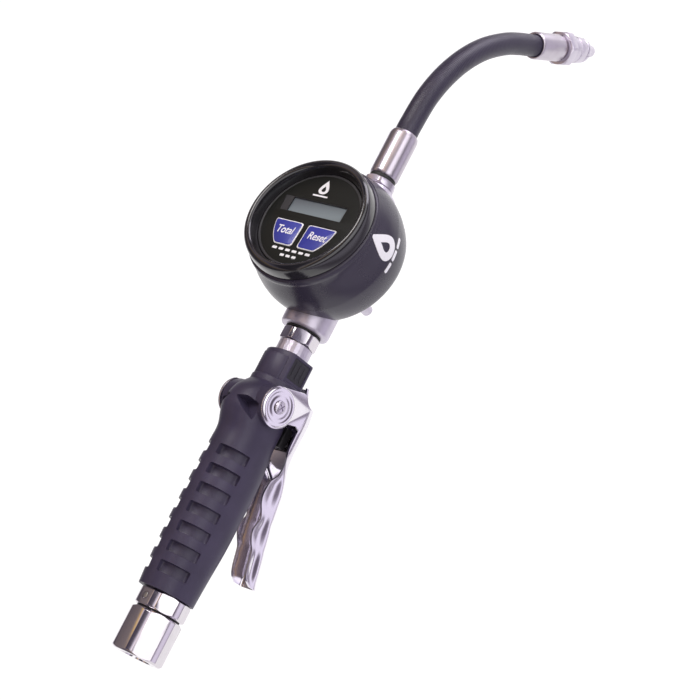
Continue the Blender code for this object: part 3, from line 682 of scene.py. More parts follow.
@dataclass
class Grip:
    """The moulded grip: a tapering oval body, a cross boss for the lever and a flat-sided neck."""

    half_width: float = 0.0182
    half_depth: float = 0.0212
    centre: float = 0.0018
    pivot: Point = (0.1781, 0.0076)
    windows: int = 7
    pitch: float = 0.01365
    first: float = 0.0524
    length: float = 0.0074
    neck_end: float = 0.2158
    stations: Sequence[Sequence[float]] = (
        # along, width, depth, lift
        (0.0424, 0.93, 0.88, 0.0),
        (0.0600, 0.97, 0.93, 0.0003),
        (0.0850, 1.00, 0.99, 0.0),
        (0.1100, 1.00, 1.00, 0.0),
        (0.1280, 1.00, 1.00, 0.0),
        (0.1430, 0.96, 0.97, 0.0004),
        (0.1540, 0.95, 0.93, 0.0012),
        (0.1630, 0.99, 1.00, 0.0031),
        (0.1700, 1.00, 1.04, 0.0042),
        (0.1820, 0.92, 0.92, 0.0040),
        (0.1920, 0.83, 0.72, 0.0),
    )

    def build(self) -> None:
        """Build and dress the grip, its neck panel and the guard under its neck."""
        grip = self.body()
        carve(grip, Operation.JOIN, self.boss(), self.neck(), self.lug(), self.flange())
        steps = [(0.03, 0), (0.03, 0.0131), (0.2115, 0.0131), (0.2115, 0.0119), (0.23, 0.0119), (0.23, 0)]
        carve(grip, Operation.CUT, lathe("grip_bore", steps, 64), self.window_tools())
        carve(grip, Operation.CUT, self.pocket(-1), self.pocket(1), self.panel_recess())
        hand_over(grip, GRIP, Body.GUN, ["grip"], 28)
        hand_over(self.panel(), PANEL, Body.GUN)
        self.guard()

    def section(self, width: float, depth: float, middle: float, count: int = 72) -> list[Point]:
        """A section a little squarer than an oval, with a flatter lever side."""
        points = []
        for k in range(count):
            a = math.tau * k / count
            c, s = math.cos(a), math.sin(a)
            power = 2 / (2.3 if s > 0 else 2.6)
            y = width * math.copysign(abs(c) ** power, c)
            z = middle + depth * math.copysign(abs(s) ** power, s)
            points.append((y, z))
        return points

    def body(self) -> Object:
        """The tapering body, wrapped round its sections."""
        rings = []
        for x, wide, deep, lift in blend_curve(self.stations, 6):
            ring = self.section(self.half_width * wide, self.half_depth * deep, self.centre + lift)
            rings.append([(x, y, z) for y, z in ring])
        return wrap("grip_shell", rings)

    def boss(self) -> Object:
        """The cross boss that carries the lever's pivot screws."""
        half = 0.0205
        shape = [(-half, 0), (-half, 0.0134), (half, 0.0134), (half, 0)]
        boss = seat(lathe("cross_boss", shape, 72, 0.0008), X_TO_Y)
        return seat(boss, Matrix.Translation((self.pivot[0], 0, self.pivot[1])))

    def neck(self) -> Object:
        """The neck: flat sides between a rounded palm side and a rounded lever side."""
        arc = [math.radians(36 + 108 * k / 12) for k in range(13)]
        upper = [(0.0183 * math.cos(a), 0.0150 * math.sin(a)) for a in arc]
        neck = slab("neck_block", upper + [(y, -z) for y, z in reversed(upper)], 0.180, self.neck_end)
        return soften(neck, 0.0007, 30, 3)

    def lug(self) -> Object:
        """The round collar between boss and neck."""
        profile = [(0.1900, 0), (0.1900, 0.0176), (0.1958, 0.0176), (0.1972, 0.0150), (0.1972, 0)]
        return lathe("neck_collar", profile, 64, 0.0009)

    def flange(self) -> Object:
        """The thin rib along the neck's palm side, away from the lever's near ear."""
        arc = [math.radians(62 + 76 * k / 10) for k in range(11)]
        outer = [(0.0172 * math.cos(a), 0.0172 * math.sin(a)) for a in arc]
        inner = [(0.0120 * math.cos(a), 0.0120 * math.sin(a)) for a in reversed(arc)]
        return soften(slab("neck_rib", outer + inner, 0.1955, 0.2120), 0.0005)

    def window_tools(self) -> Object:
        """All the grip pockets' cutters as one mesh."""
        angles = [math.radians(13 + 66 * k / 10) for k in range(11)]
        tools = []
        for side in (-1, 1):
            for k in range(self.windows):
                x = self.first + k * self.pitch
                swell = 1.0 if 1 <= k <= 4 else 0.95
                deep_y, deep_z = self.half_width * swell - 0.0022, self.half_depth * swell - 0.0038
                inner = [(side * deep_y * math.sin(a), self.centre + deep_z * math.cos(a)) for a in angles]
                reach = 0.0285
                back = reversed(angles)
                outer = [(side * reach * math.sin(a), self.centre + reach * math.cos(a)) for a in back]
                tool = slab(f"window_{side}_{k}", inner + outer, x, x + self.length)
                tools.append(soften(tool, 0.0011, 40, 3))
        return joined("window_tools", tools)

    def pocket(self, side: int) -> Object:
        """The cutter for one three-cornered pocket in front of the cross boss."""
        corners = rounded([(0.1600, 0.0185), (0.1738, 0.0030), (0.1760, 0.0100), (0.1736, 0.0185)], 0.0012, 3)
        return slab(f"shoulder_pocket_{side}", [(x, side * y) for x, y in corners], 0.0170, 0.040, "XY")

    def panel_recess(self) -> Object:
        """The cutter for the shallow field in the neck's near side."""
        field_edge = rectangle((0.1990, -0.0074), (0.2140, 0.0074), 0.0012)
        return slab("panel_recess", field_edge, -0.020, -0.0143, "XZ")

    def panel(self) -> Object:
        """The matt field with three plain raised ribs in it."""
        frame = rectangle((0.1993, -0.0071), (0.2137, 0.0071), 0.0010)
        parts = [slab("panel_field", frame, -0.01445, -0.0140, "XZ")]
        for k in range(3):
            z = -0.0042 + k * 0.0042
            rib = rectangle((0.2012, z - 0.0007), (0.2118, z + 0.0007), 0.0006)
            parts.append(slab(f"panel_rib_{k}", rib, -0.0148, -0.01440, "XZ"))
        return joined("neck_panel", parts)

    def guard(self) -> None:
        """The dark block that guides the push pin."""
        block = slab("pin_guide", rectangle((-0.0105, -0.0225), (0.0105, -0.0165), 0.0012), 0.160, 0.174)
        hole = seat(rod("guide_hole", -0.03, -0.01, 0.0034, 32), X_TO_Z)
        carve(block, Operation.CUT, seat(hole, Matrix.Translation((0.167, 0, 0))))
        hand_over(soften(block, 0.0006), PLASTIC, Body.GUN, ["stem_guard"])


@dataclass
class Lever:
    """The pressed and chromed lever: ears on the pivot, a web and a scalloped finger channel."""

    pivot: Point = (0.1781, 0.0076)
    ear: float = 0.0140
    outside: float = 0.0228
    plate: float = 0.0017
    stations: Sequence[Sequence[float]] = (
        # along, half width, corner, web depth, flange top
        (0.2035, 0.0100, 0.0040, 0.0212, -0.0166),
        (0.1975, 0.0108, 0.0040, 0.0232, -0.0186),
        (0.1925, 0.0112, 0.0042, 0.0248, -0.0200),
        (0.1902, 0.0226, 0.0110, 0.0255, -0.0140),
        (0.1800, 0.0228, 0.0120, 0.0276, -0.0152),
        (0.1700, 0.0226, 0.0120, 0.0278, -0.0155),
        (0.1600, 0.0200, 0.0100, 0.0286, -0.0182),
        (0.1520, 0.0140, 0.0070, 0.0330, -0.0255),
        (0.1450, 0.0095, 0.0050, 0.0385, -0.0290),
        (0.1400, 0.0080, 0.0040, 0.0412, -0.0268),
        (0.1350, 0.0080, 0.0038, 0.0427, -0.0259),
        (0.1290, 0.0080, 0.0038, 0.0438, -0.0259),
        (0.1240, 0.0080, 0.0038, 0.0447, -0.0278),
        (0.1200, 0.0080, 0.0038, 0.0454, -0.0306),
        (0.1155, 0.0078, 0.0038, 0.0461, -0.0332),
        (0.1110, 0.0080, 0.0038, 0.0473, -0.0324),
        (0.1070, 0.0080, 0.0038, 0.0485, -0.0316),
        (0.1030, 0.0080, 0.0038, 0.0496, -0.0326),
        (0.0990, 0.0078, 0.0038, 0.0507, -0.0352),
        (0.0950, 0.0080, 0.0038, 0.0518, -0.0384),
        (0.0910, 0.0080, 0.0038, 0.0530, -0.0398),
        (0.0870, 0.0080, 0.0038, 0.0541, -0.0409),
        (0.0830, 0.0080, 0.0038, 0.0552, -0.0421),
        (0.0790, 0.0079, 0.0040, 0.0564, -0.0437),
        (0.0760, 0.0082, 0.0040, 0.0573, -0.0462),
        (0.0736, 0.0086, 0.0042, 0.0583, -0.0502),
    )

    def build(self) -> None:
        """Build and dress the lever and its pivot screws."""
        lever = self.channel()
        for side in (-1, 1):
            carve(lever, Operation.JOIN, self.ear_plate(side), self.dish(side))
        hole = seat(rod("ear_hole", -0.03, 0.03, 0.0036, 48), X_TO_Y)
        carve(lever, Operation.CUT, self.at_pivot(hole))
        hand_over(lever, CHROME, Body.LEVER, ["trigger_lever"], 40)
        for side, place in ((-1, "near"), (1, "far")):
            hand_over(self.screw(side, place), PALE_ZINC, Body.GUN, [f"pivot_screw_{place}"])

    def at_pivot(self, thing: Object) -> Object:
        """Carry a piece from the origin to the pivot."""
        return seat(thing, Matrix.Translation((self.pivot[0], 0, self.pivot[1])))

    def hollow(self, x: float) -> float:
        """How deep the finger hollows press the side walls in at a station."""
        middles, reach, depth = (0.1345, 0.1090, 0.0870), 0.0125, 0.0009
        nearest = min(abs(x - middle) for middle in middles)
        return depth * max(0.0, math.cos(math.pi / 2 * min(1.0, nearest / reach)))

    def ring(self, width: float, corner: float, depth: float, top: float, hollow: float) -> list[Point]:
        """The channel's section: a U that opens to the grip, with round corners and dished side walls."""
        points: list[Point] = []
        for inset in (0.0, self.plate):
            half, floor, radius = width - inset, depth - inset, max(corner - inset, 0.0006)
            dish = hollow if inset == 0.0 else 0.0
            side = [(-half, top)]
            for v in (0.15, 0.3, 0.42, 0.55, 0.7, 0.85):
                side.append((-half + dish * math.sin(math.pi * v) ** 2, top + (radius - floor - top) * v))
            for k in range(7):
                a = math.radians(15 * k)
                side.append((-half + radius * (1 - math.cos(a)), -floor + radius * (1 - math.sin(a))))
            whole = side + [(-y, z) for y, z in reversed(side)]
            points += whole if inset == 0.0 else list(reversed(whole))
        return points

    def channel(self) -> Object:
        """The long pressed channel."""
        tail = blend_curve(self.stations[3:], 4)
        rings = []
        for x, width, corner, depth, top in [*self.stations[:3], *tail]:
            rings.append([(x, y, z) for y, z in self.ring(width, corner, depth, top, self.hollow(x))])
        return wrap("lever_pressing", rings)

    def ear_plate(self, side: int) -> Object:
        """One ear's flat plate."""
        x, z = self.pivot
        arc = [math.radians(a) for a in range(35, 250, 7)]
        edge = [(x + self.ear * math.cos(a), z + self.ear * math.sin(a)) for a in arc]
        edge += [(0.1745, -0.0120), (0.1722, -0.0165), (0.1725, -0.0172)]
        edge += [(0.1890, -0.0172), (0.1902, -0.0160), (0.1918, -0.0130)]
        edge += [(0.1950, -0.0098), (0.1961, -0.0070), (0.1956, -0.0050)]
        span = sorted((side * (self.outside - self.plate), side * self.outside))
        return soften(slab(f"ear_plate_{side}", edge, *span, "XZ"), 0.0004, 50)

    def dish(self, side: int) -> Object:
        """The round embossing on an ear's outer face."""
        raised = [(-0.0008, 0.0034), (0.0008, 0.0034), (0.0008, 0.0066), (0.0004, 0.0082), (0.0004, 0.0096)]
        raised += [(0.0007, 0.0106), (0.0007, 0.0122), (-0.0002, 0.0134), (-0.0008, 0.0134)]
        profile = [(side * (self.outside + height), radius) for height, radius in raised]
        return self.at_pivot(seat(lathe(f"ear_dish_{side}", profile, 72, 0.0005), X_TO_Y))

    def screw(self, side: int, place: str) -> Object:
        """One pivot screw with a cross recess."""
        s, head, top = side, side * 0.0240, side * 0.0256
        profile = [(s * 0.0130, 0), (s * 0.0130, 0.0023), (head, 0.0023), (head, 0.0046)]
        profile += [(s * 0.0249, 0.0042), (top, 0.0026), (top, 0)]
        screw = seat(lathe(f"pivot_screw_{place}_head", profile, 48, 0.0004), X_TO_Y)
        for turn in (35, 125):
            slot = [(-0.0024, -0.0004), (0.0024, -0.0004), (0.0024, 0.0004), (-0.0024, 0.0004)]
            arm = slab(f"cross_{place}_{turn}", slot, *sorted((s * 0.0244, s * 0.028)), "XZ")
            carve(screw, Operation.CUT, seat(arm, Matrix.Rotation(math.radians(turn), 4, "Y")))
        return self.at_pivot(screw)


@dataclass
class Adapter:
    """The hexed adapter between the valve and the meter, and its washer."""

    flats: float = 0.0235
    corner: float = 0.0128
    start: float = 0.2249
    stop: float = 0.2342

    def build(self) -> None:
        """Build and dress the adapter and the washer against the meter."""
        nut = hex_nut("adapter_nut", self.flats, self.start, self.stop, 0.0058, self.corner, 1.0)
        collar = sleeve("adapter_collar", 0.2150, 0.2440, 0.0058, 0.0078, 64)
        carve(nut, Operation.JOIN, collar)
        hand_over(seat(nut, ADAPTER_FRAME), ZINC, Body.GUN, ["adapter_hex"])
        ring = sleeve("adapter_seal_ring", 0.2344, 0.2353, 0.0082, 0.0124, 72, 0.0002)
        hand_over(seat(ring, ADAPTER_FRAME), SEAL, Body.GUN, ["adapter_washer"])
        neck = [(0.2060, 0.0083), (0.2060, 0.0115), (0.2236, 0.0115), (0.2244, 0.0108), (0.2244, 0.0083)]
        hand_over(lathe("valve_neck_sleeve", neck, 72, 0.0004), PALE_ZINC, Body.GUN)


@dataclass
class Meter:
    """The cast flow meter body and the rubber boot over it."""

    boss: float = 0.0170
    shoulder: float = 0.0212
    boot_x: float = METER_X - 0.0012
    outside: Sequence[Point] = (
        # height, radius of the boot
        (-0.0025, 0.0460),
        (0.0020, 0.0477),
        (0.0080, 0.0493),
        (0.0140, 0.0503),
        (0.0200, 0.0507),
        (0.0260, 0.0502),
        (0.0320, 0.0491),
        (0.0380, 0.0474),
        (0.0430, 0.0461),
        (0.0480, 0.0453),
        (0.0560, 0.0449),
    )

    def build(self) -> None:
        """Build and dress the casting, the boot and the boot's emblem."""
        casting = seat(self.casting(), METER_FRAME)
        hand_over(casting, CASTING, Body.GUN, ["meter_housing"], 35)
        hand_over(self.boot(), BOOT, Body.GUN, ["rubber_boot"], 32)
        self.emblem()

    def casting(self) -> Object:
        """The cup of the casting with its flow boss, outlet shoulder and four screw bosses."""
        cup = [(-0.0180, 0.0), (-0.0180, 0.0300), (-0.0160, 0.0325), (-0.0080, 0.0385), (-0.0020, 0.0425)]
        cup += [(0.0178, 0.0430), (0.0178, 0.0385), (0.0100, 0.0385), (0.0100, 0.0)]
        body = seat(lathe("meter_casting", cup, 96, 0.0018), Matrix.Translation((METER_X, 0, 0)) @ X_TO_Z)
        flow = [(0.2355, 0.0), (0.2355, 0.0145), (0.2362, 0.0166), (0.2390, self.boss), (0.3400, self.boss)]
        flow += [(0.3438, 0.0152), (0.3462, 0.0116), (0.3485, 0.0110), (0.3485, 0.0)]
        carve(body, Operation.JOIN, lathe("flow_boss", flow, 80, 0.0012))
        wide = self.shoulder
        shoulder = [(0.3180, 0), (0.3180, wide), (0.3350, wide), (0.3372, wide - 0.0022), (0.3372, 0)]
        carve(body, Operation.JOIN, lathe("outlet_shoulder", shoulder, 64, 0.0010))
        screw_circle, gear_gap = 0.0372, 0.013
        for k in range(4):
            a = math.radians(45 + 90 * k)
            taper = [(-0.0170, 0), (-0.0170, 0.0038), (0.006, 0.0046), (0.006, 0)]
            post = lathe(f"screw_boss_{k}", taper, 32, 0.0008)
            middle = (METER_X + screw_circle * math.cos(a), screw_circle * math.sin(a), 0)
            spot = Matrix.Translation(middle) @ X_TO_Z
            carve(body, Operation.JOIN, seat(post, spot))
        bores = (
            ("inlet", 0.22, 0.2450, 0.0081),
            ("outlet", 0.3370, 0.36, 0.0081),
            ("way", 0.24, 0.35, 0.0055),
        )
        for name, start, stop, radius in bores:
            carve(body, Operation.CUT, rod(f"{name}_bore", start, stop, radius, 48))
        for k, side in enumerate((-1, 1)):
            pit = rod(f"gear_pit_{k}", -0.0093, 0.03, 0.0160, 64)
            carve(body, Operation.CUT, seat(pit, Matrix.Translation((METER_X, side * gear_gap, 0)) @ X_TO_Z))
        return body

    def boot(self) -> Object:
        """The boot: a barrel open below, cut round the bosses and off under the tilted bezel."""
        inner = [(0.0560, 0.0420), (0.0200, 0.0438), (-0.0025, 0.0438)]
        boot = lathe("boot_shell", [*self.outside, *inner], 128, 0.0007)
        seat(boot, METER_FRAME @ Matrix.Translation((self.boot_x, 0, 0)) @ X_TO_Z)
        top = seat(rod("boot_top", -0.0089, 0.03, 0.07, 48), FACE_FRAME @ X_TO_Z)
        way = seat(rod("boss_way", 0.22, 0.36, self.boss + 0.0004, 72), METER_FRAME)
        step = self.shoulder + 0.0004
        room = seat(rod("shoulder_way", 0.3150, 0.36, step, 72), METER_FRAME)
        carve(boot, Operation.CUT, top, way, room)
        rim = [(-0.0135, 0.0440), (-0.0135, 0.0462), (-0.0105, 0.0466)]
        rim += [(-0.0085, 0.0462), (-0.0074, 0.0452), (-0.0074, 0.0444)]
        return carve(boot, Operation.JOIN, seat(lathe("boot_lip", rim, 128, 0.0006), FACE_FRAME @ X_TO_Z))

    def emblem(self) -> None:
        """The printed oil drop and plain bar on the boot's near side."""
        for name, shape, height in (("boot_drop", self.drop(), 0.0320), ("boot_bar", self.bar(), 0.0172)):
            parts = [self.wrapped(f"{name}_{k}", ring, height) for k, ring in enumerate(shape)]
            hand_over(joined(name, parts), WHITE, Body.GUN, (), 50)

    def drop(self) -> list[list[Point]]:
        """A drop with a lighter sweep left out on one side, as two outlines."""
        outer = drop_outline(0.0245, 0.0205, 56)
        inner = [(u * 0.38 - 0.0024, v * 0.38) for u, v in outer]
        first = outer[:29] + list(reversed(inner[:29]))
        second = outer[28:] + [outer[0], inner[0]] + list(reversed(inner[28:]))
        return [first, second]

    def bar(self) -> list[list[Point]]:
        """Three short dashes in a row."""
        deep, wide = 0.0014, 0.0037
        return [rectangle((-deep, c - wide), (deep, c + wide), 0.001) for c in (-0.009, 0, 0.009)]

    def wrapped(self, name: str, shape: Sequence[Point], height: float) -> Object:
        """Print one outline of (up, along) points onto the boot's barrel."""
        print_ = slab(name, shape, 0.0, 0.0010, "XY")
        editing(print_, bpy.ops.mesh.quads_convert_to_tris, lambda: bpy.ops.mesh.subdivide(number_cuts=3))
        start, mean_radius, proud, sunk = math.radians(-86), 0.0495, 0.00012, -0.0004
        for vertex in print_.data.vertices:
            up, along, out = vertex.co
            z = height + up
            radius = self.barrel(z) + 0.00006 + (proud if out > 0.0005 else sunk)
            turn = start + along / mean_radius
            spot = Vector((self.boot_x + radius * math.cos(turn), radius * math.sin(turn), z))
            vertex.co = METER_FRAME @ spot
        editing(print_, tidy)
        return print_

    def barrel(self, z: float) -> float:
        """The boot's outer radius at a height."""
        for (low, first), (high, second) in zip(self.outside, self.outside[1:]):
            if low <= z <= high:
                return first + (second - first) * (z - low) / (high - low)
        return self.outside[0][1]


@dataclass
class Register:
    """The tilted display head: bezel, printed dial, display and two keys."""

    face_radius: float = 0.0364
    dial_top: float = -0.0043

    def build(self) -> None:
        """Build and dress what shows of the display head."""
        hand_over(self.bezel(), BEZEL, Body.GUN, ["bezel"], 40)
        self.dial()
        self.display()
        self.key("total", 1, Body.TOTAL_KEY)
        self.key("reset", -1, Body.RESET_KEY)
        self.print_marks()

    def bezel(self) -> Object:
        """The rounded ring with its deep inner slope."""
        profile = [(-0.0088, 0.0418), (-0.0088, 0.0446), (-0.0060, 0.0449), (-0.0030, 0.0448), (0.0, 0.0445)]
        profile += [(0.0018, 0.0440), (0.0032, 0.0429), (0.0040, 0.0414), (0.0038, 0.0400)]
        profile += [(0.0028, 0.0390), (0.0010, 0.0383), (-0.0012, 0.0377)]
        profile += [(-0.0034, 0.0371), (-0.0046, 0.0368), (-0.0070, 0.0367), (-0.0070, 0.0408)]
        return seat(lathe("bezel_ring", profile, 144, 0.0012), FACE_FRAME @ X_TO_Z)

    def dial(self) -> None:
        """The printed dial plate with openings for the keys and the display."""
        plate = rod("dial_plate", -0.0066, self.dial_top, self.face_radius, 96, 0.0002)
        seat(plate, X_TO_Z)
        window = rounded([(0.0033, -0.0225), (0.0149, -0.0225), (0.0149, 0.0285), (0.0033, 0.0270)], 0.0008)
        carve(plate, Operation.CUT, slab("window_hole", window, -0.0060, 0.0, "XY"))
        for side in (-1, 1):
            hole = slab(f"key_hole_{side}", self.key_outline(side, 0.0003), -0.0080, 0.0, "XY")
            carve(plate, Operation.CUT, hole)
        hand_over(seat(plate, FACE_FRAME), DIAL, Body.GUN, ["dial_face"])
        rim = sleeve("dial_rim_line", -0.0048, -0.0041, 0.0350, 0.0366, 96, 0.0002)
        hand_over(seat(rim, FACE_FRAME @ X_TO_Z), PLASTIC, Body.GUN)

    def display(self) -> None:
        """The display panel, set down in its window, with a dark inner frame."""
        pane = rectangle((0.0036, -0.0222), (0.0146, 0.0216), 0.0004)
        panel = slab("lcd_pane", pane, -0.0063, -0.0056, "XY")
        hand_over(seat(panel, FACE_FRAME), SCREEN, Body.GUN, ["display_window"])
        border = [(0.0031, -0.0226), (0.0151, -0.0226), (0.0151, 0.0287), (0.0031, 0.0275)]
        edge = slab("lcd_frame", rounded(border, 0.0008), -0.0061, -0.0045, "XY")
        opening = rectangle((0.0036, -0.0221), (0.0146, 0.0216), 0.0005)
        hole = slab("lcd_frame_hole", opening, -0.01, 0.0, "XY")
        hand_over(seat(carve(edge, Operation.CUT, hole), FACE_FRAME), PLASTIC, Body.GUN)

    def key_outline(self, side: int, margin: float = 0.0) -> list[Point]:
        """A key with a straight inner edge and an outer edge that follows the dial."""
        near, low, high, reach = 0.0021 - margin, -0.0220 - margin, -0.0034 + margin, 0.0288 + margin
        first, last = math.acos(low / reach), math.acos(high / reach)
        turns = [first + (last - first) * k / 8 for k in range(9)]
        squash = 0.86
        arc = [(reach * math.cos(a), side * reach * squash * math.sin(a)) for a in turns]
        return rounded([(high, side * near), (low, side * near), *arc], 0.0022, 4)

    def key(self, name: str, side: int, body: Body) -> None:
        """One membrane key: a white edge, a blue pad and its word."""
        edge = soften(slab(f"{name}_key_edge", self.key_outline(side), -0.0078, -0.0041, "XY"), 0.0003, 50)
        hand_over(seat(edge, FACE_FRAME), WHITE, body, [f"{name}_button"])
        pad = slab(f"{name}_key_pad", self.key_outline(side, -0.0007), -0.0060, -0.0039, "XY")
        hand_over(seat(soften(pad, 0.0002, 50), FACE_FRAME), BLUE, body)
        spot = (-0.0112, side * 0.0132)
        hand_over(self.word(name.capitalize(), spot, 0.0080), WHITE, body)

    def word(self, text: str, spot: Point, size: float) -> Object:
        """A plain function word as a thin print, centred at a place on the dial."""
        bpy.ops.object.select_all(action="DESELECT")
        bpy.ops.object.text_add()
        letters = bpy.context.object
        data = letters.data
        data.body, data.size, data.extrude, data.offset = text, size, 0.00006, 0.0001
        data.align_x, data.align_y, data.shear = "CENTER", "CENTER", 0.15
        bpy.ops.object.convert(target="MESH")
        letters = bpy.context.object
        letters.name = letters.data.name = f"{text.lower()}_word"
        face = Matrix(((0, 1.0, 0, spot[0]), (-0.80, 0, 0, spot[1]), (0, 0, 1, -0.00385), (0, 0, 0, 1)))
        editing(letters, tidy)
        return seat(letters, FACE_FRAME @ face)

    def print_marks(self) -> None:
        """The oil drop, the bar below it and two rows of plain dashes."""
        height = self.dial_top - 0.0001, self.dial_top + 0.00008
        shape = drop_outline(0.0112, 0.0092)
        outer = [(u + 0.0262, v + 0.0030) for u, v in shape]
        drop = slab("dial_drop", outer, *height, "XY")
        shine = [(u * 0.42 + 0.0248, v * 0.42 + 0.0030) for u, v in shape]
        carve(drop, Operation.CUT, slab("drop_shine", shine, -0.01, 0.0, "XY"))
        bar = slab("dial_bar", rectangle((0.0184, -0.0030), (0.0196, 0.0090), 0.0004), *height, "XY")
        dashes = []
        for row, (x, count, gap) in enumerate(((-0.0250, 6, 0.0054), (-0.0292, 3, 0.0048))):
            for k in range(count):
                y = (k - (count - 1) / 2) * gap
                dash = rectangle((x - 0.0009, y - gap * 0.34), (x + 0.0009, y + gap * 0.34), 0.0005)
                dashes.append(slab(f"dash_{row}_{k}", dash, *height, "XY"))
        marks = joined("dial_marks", [drop, bar, *dashes])
        hand_over(seat(marks, FACE_FRAME), WHITE, Body.GUN, (), 50)


@dataclass
class Extension:
    """The outlet fitting, the pre-bent hose between crimped ferrules, and the nozzle."""

    hose_radius: float = 0.0081
    ferrule: float = 0.01025
    route: Sequence[Point] = (
        (0.3605, 0.0),
        (0.3760, 0.0),
        (0.3920, 0.0),
        (0.4010, -0.0001),
        (0.4243, -0.0020),
        (0.4468, -0.0081),
        (0.4680, -0.0180),
        (0.4871, -0.0313),
        (0.5036, -0.0479),
        (0.5134, -0.0610),
        (0.5188, -0.0694),
        (0.5232, -0.0761),
        (0.5341, -0.0929),
    )
    pieces: list[Object] = field(default_factory=list)

    def build(self) -> None:
        """Build and dress the nozzle, then the hose that carries it, then the meter's outlet."""
        self.nozzle()
        self.hose()
        self.outlet()

    def hose(self) -> None:
        """The hose, wrapped round its route."""
        path = [Vector((x, 0, z)) for x, z in blend_curve(self.route, 6)]
        rings = []
        for k, spot in enumerate(path):
            ahead, behind = path[min(k + 1, len(path) - 1)], path[max(k - 1, 0)]
            flow = (ahead - behind).normalized()
            up = flow.cross(Vector((0, 1, 0)))
            turns = [math.tau * j / 40 for j in range(40)]
            spokes = [up * math.cos(a) + Vector((0, math.sin(a), 0)) for a in turns]
            rings.append([spot + self.hose_radius * spoke for spoke in spokes])
        hose = seat(wrap("hose_tube", rings, uv="wrap"), HOSE_FRAME)
        hand_over(hose, HOSE, Body.GUN, ["extension_hose"], 60)
        length = sum((b - a).length for a, b in zip(path, path[1:]))
        LOG.info("hose centreline: %.4f m", length)

    def crimped(self, name: str, start: float, stop: float) -> Object:
        """A ferrule with a rounded shoulder and the shallow flats of a crimping tool."""
        outer, inner = self.ferrule, self.hose_radius + 0.0003
        profile = [(start, inner), (start, outer - 0.0007), (start + 0.0014, outer - 0.0001)]
        profile += [(stop - 0.0030, outer), (stop - 0.0008, outer - 0.0006)]
        profile += [(stop, outer - 0.0013), (stop, inner)]
        ferrule = lathe(name, profile, 96, 0.0006)
        reach = (outer - 0.00022) / math.cos(math.pi / 8)
        turns = [math.tau * (k + 0.3) / 8 for k in range(8)]
        flats = [(reach * math.cos(a), reach * math.sin(a)) for a in turns]
        dies = slab(f"{name}_dies", flats, start - 0.001, stop + 0.001)
        return carve(ferrule, Operation.KEEP, soften(dies, 0.0008, 20, 3))

    def outlet(self) -> None:
        """The meter's outlet fitting, its ring and the first ferrule."""
        hexed = hex_nut("outlet_fitting_hex", 0.0205, 0.3488, 0.3538, 0.0036, 0.0112, 0.9)
        hand_over(seat(hexed, METER_FRAME), PALE_ZINC, Body.GUN, ["outlet_fitting"])
        ring = sleeve("outlet_ring", 0.3538, 0.3568, 0.0050, 0.0093, 64, 0.0005)
        hand_over(seat(ring, METER_FRAME), SEAL, Body.GUN, ["outlet_seal"])
        ferrule = seat(self.crimped("hose_ferrule_crimp", 0.3568, 0.3921), HOSE_FRAME)
        hand_over(ferrule, FERRULE, Body.GUN, ["hose_ferrule"])

    def nozzle(self) -> None:
        """The far ferrule, the nozzle's nut and body, and its twisting tip."""
        turned = NOZZLE_FRAME @ Matrix.Rotation(math.radians(10), 4, "X")
        ferrule = seat(self.crimped("nozzle_ferrule_crimp", 0.0, 0.0305), turned)
        hand_over(ferrule, FERRULE, Body.GUN, ["nozzle_ferrule"])
        nut = hex_nut("nozzle_nut_hex", 0.0240, 0.0308, 0.0392, 0.0078, 0.0134, 1.3)
        hand_over(seat(nut, NOZZLE_FRAME), PALE_ZINC, Body.GUN, ["nozzle_nut"])
        body = [(0.0220, 0.0040), (0.0220, 0.0075), (0.0394, 0.0075), (0.0396, 0.0094), (0.0420, 0.0100)]
        body += [(0.0470, 0.0100), (0.0474, 0.0094), (0.0482, 0.0094), (0.0486, 0.0100)]
        body += [(0.0550, 0.0098), (0.0562, 0.0090), (0.0562, 0.0040)]
        core = lathe("nozzle_core", body, 72, 0.0004)
        hand_over(seat(core, NOZZLE_FRAME), PALE_ZINC, Body.GUN, ["nozzle_body"])
        cone = [(0.0565, 0.0022), (0.0565, 0.0088), (0.0576, 0.0094), (0.0598, 0.0092), (0.0618, 0.0078)]
        cone += [(0.0640, 0.0062), (0.0664, 0.0053), (0.0700, 0.0048), (0.0722, 0.0043)]
        cone += [(0.0735, 0.0034), (0.0738, 0.0022)]
        tip = lathe("twist_tip", cone, 72, 0.0007)
        for k in range(4):
            groove = [(-0.0012, 0.0082), (0.0012, 0.0082), (0.0012, 0.0110), (-0.0012, 0.0110)]
            flute = slab(f"flute_{k}", groove, 0.0572, 0.0660)
            carve(tip, Operation.CUT, seat(flute, Matrix.Rotation(math.radians(90 * k + 20), 4, "X")))
        hand_over(seat(tip, NOZZLE_FRAME), PALE_ZINC, Body.TIP, ["nozzle_tip"])
        self.pieces.extend([ferrule, nut, core, tip])


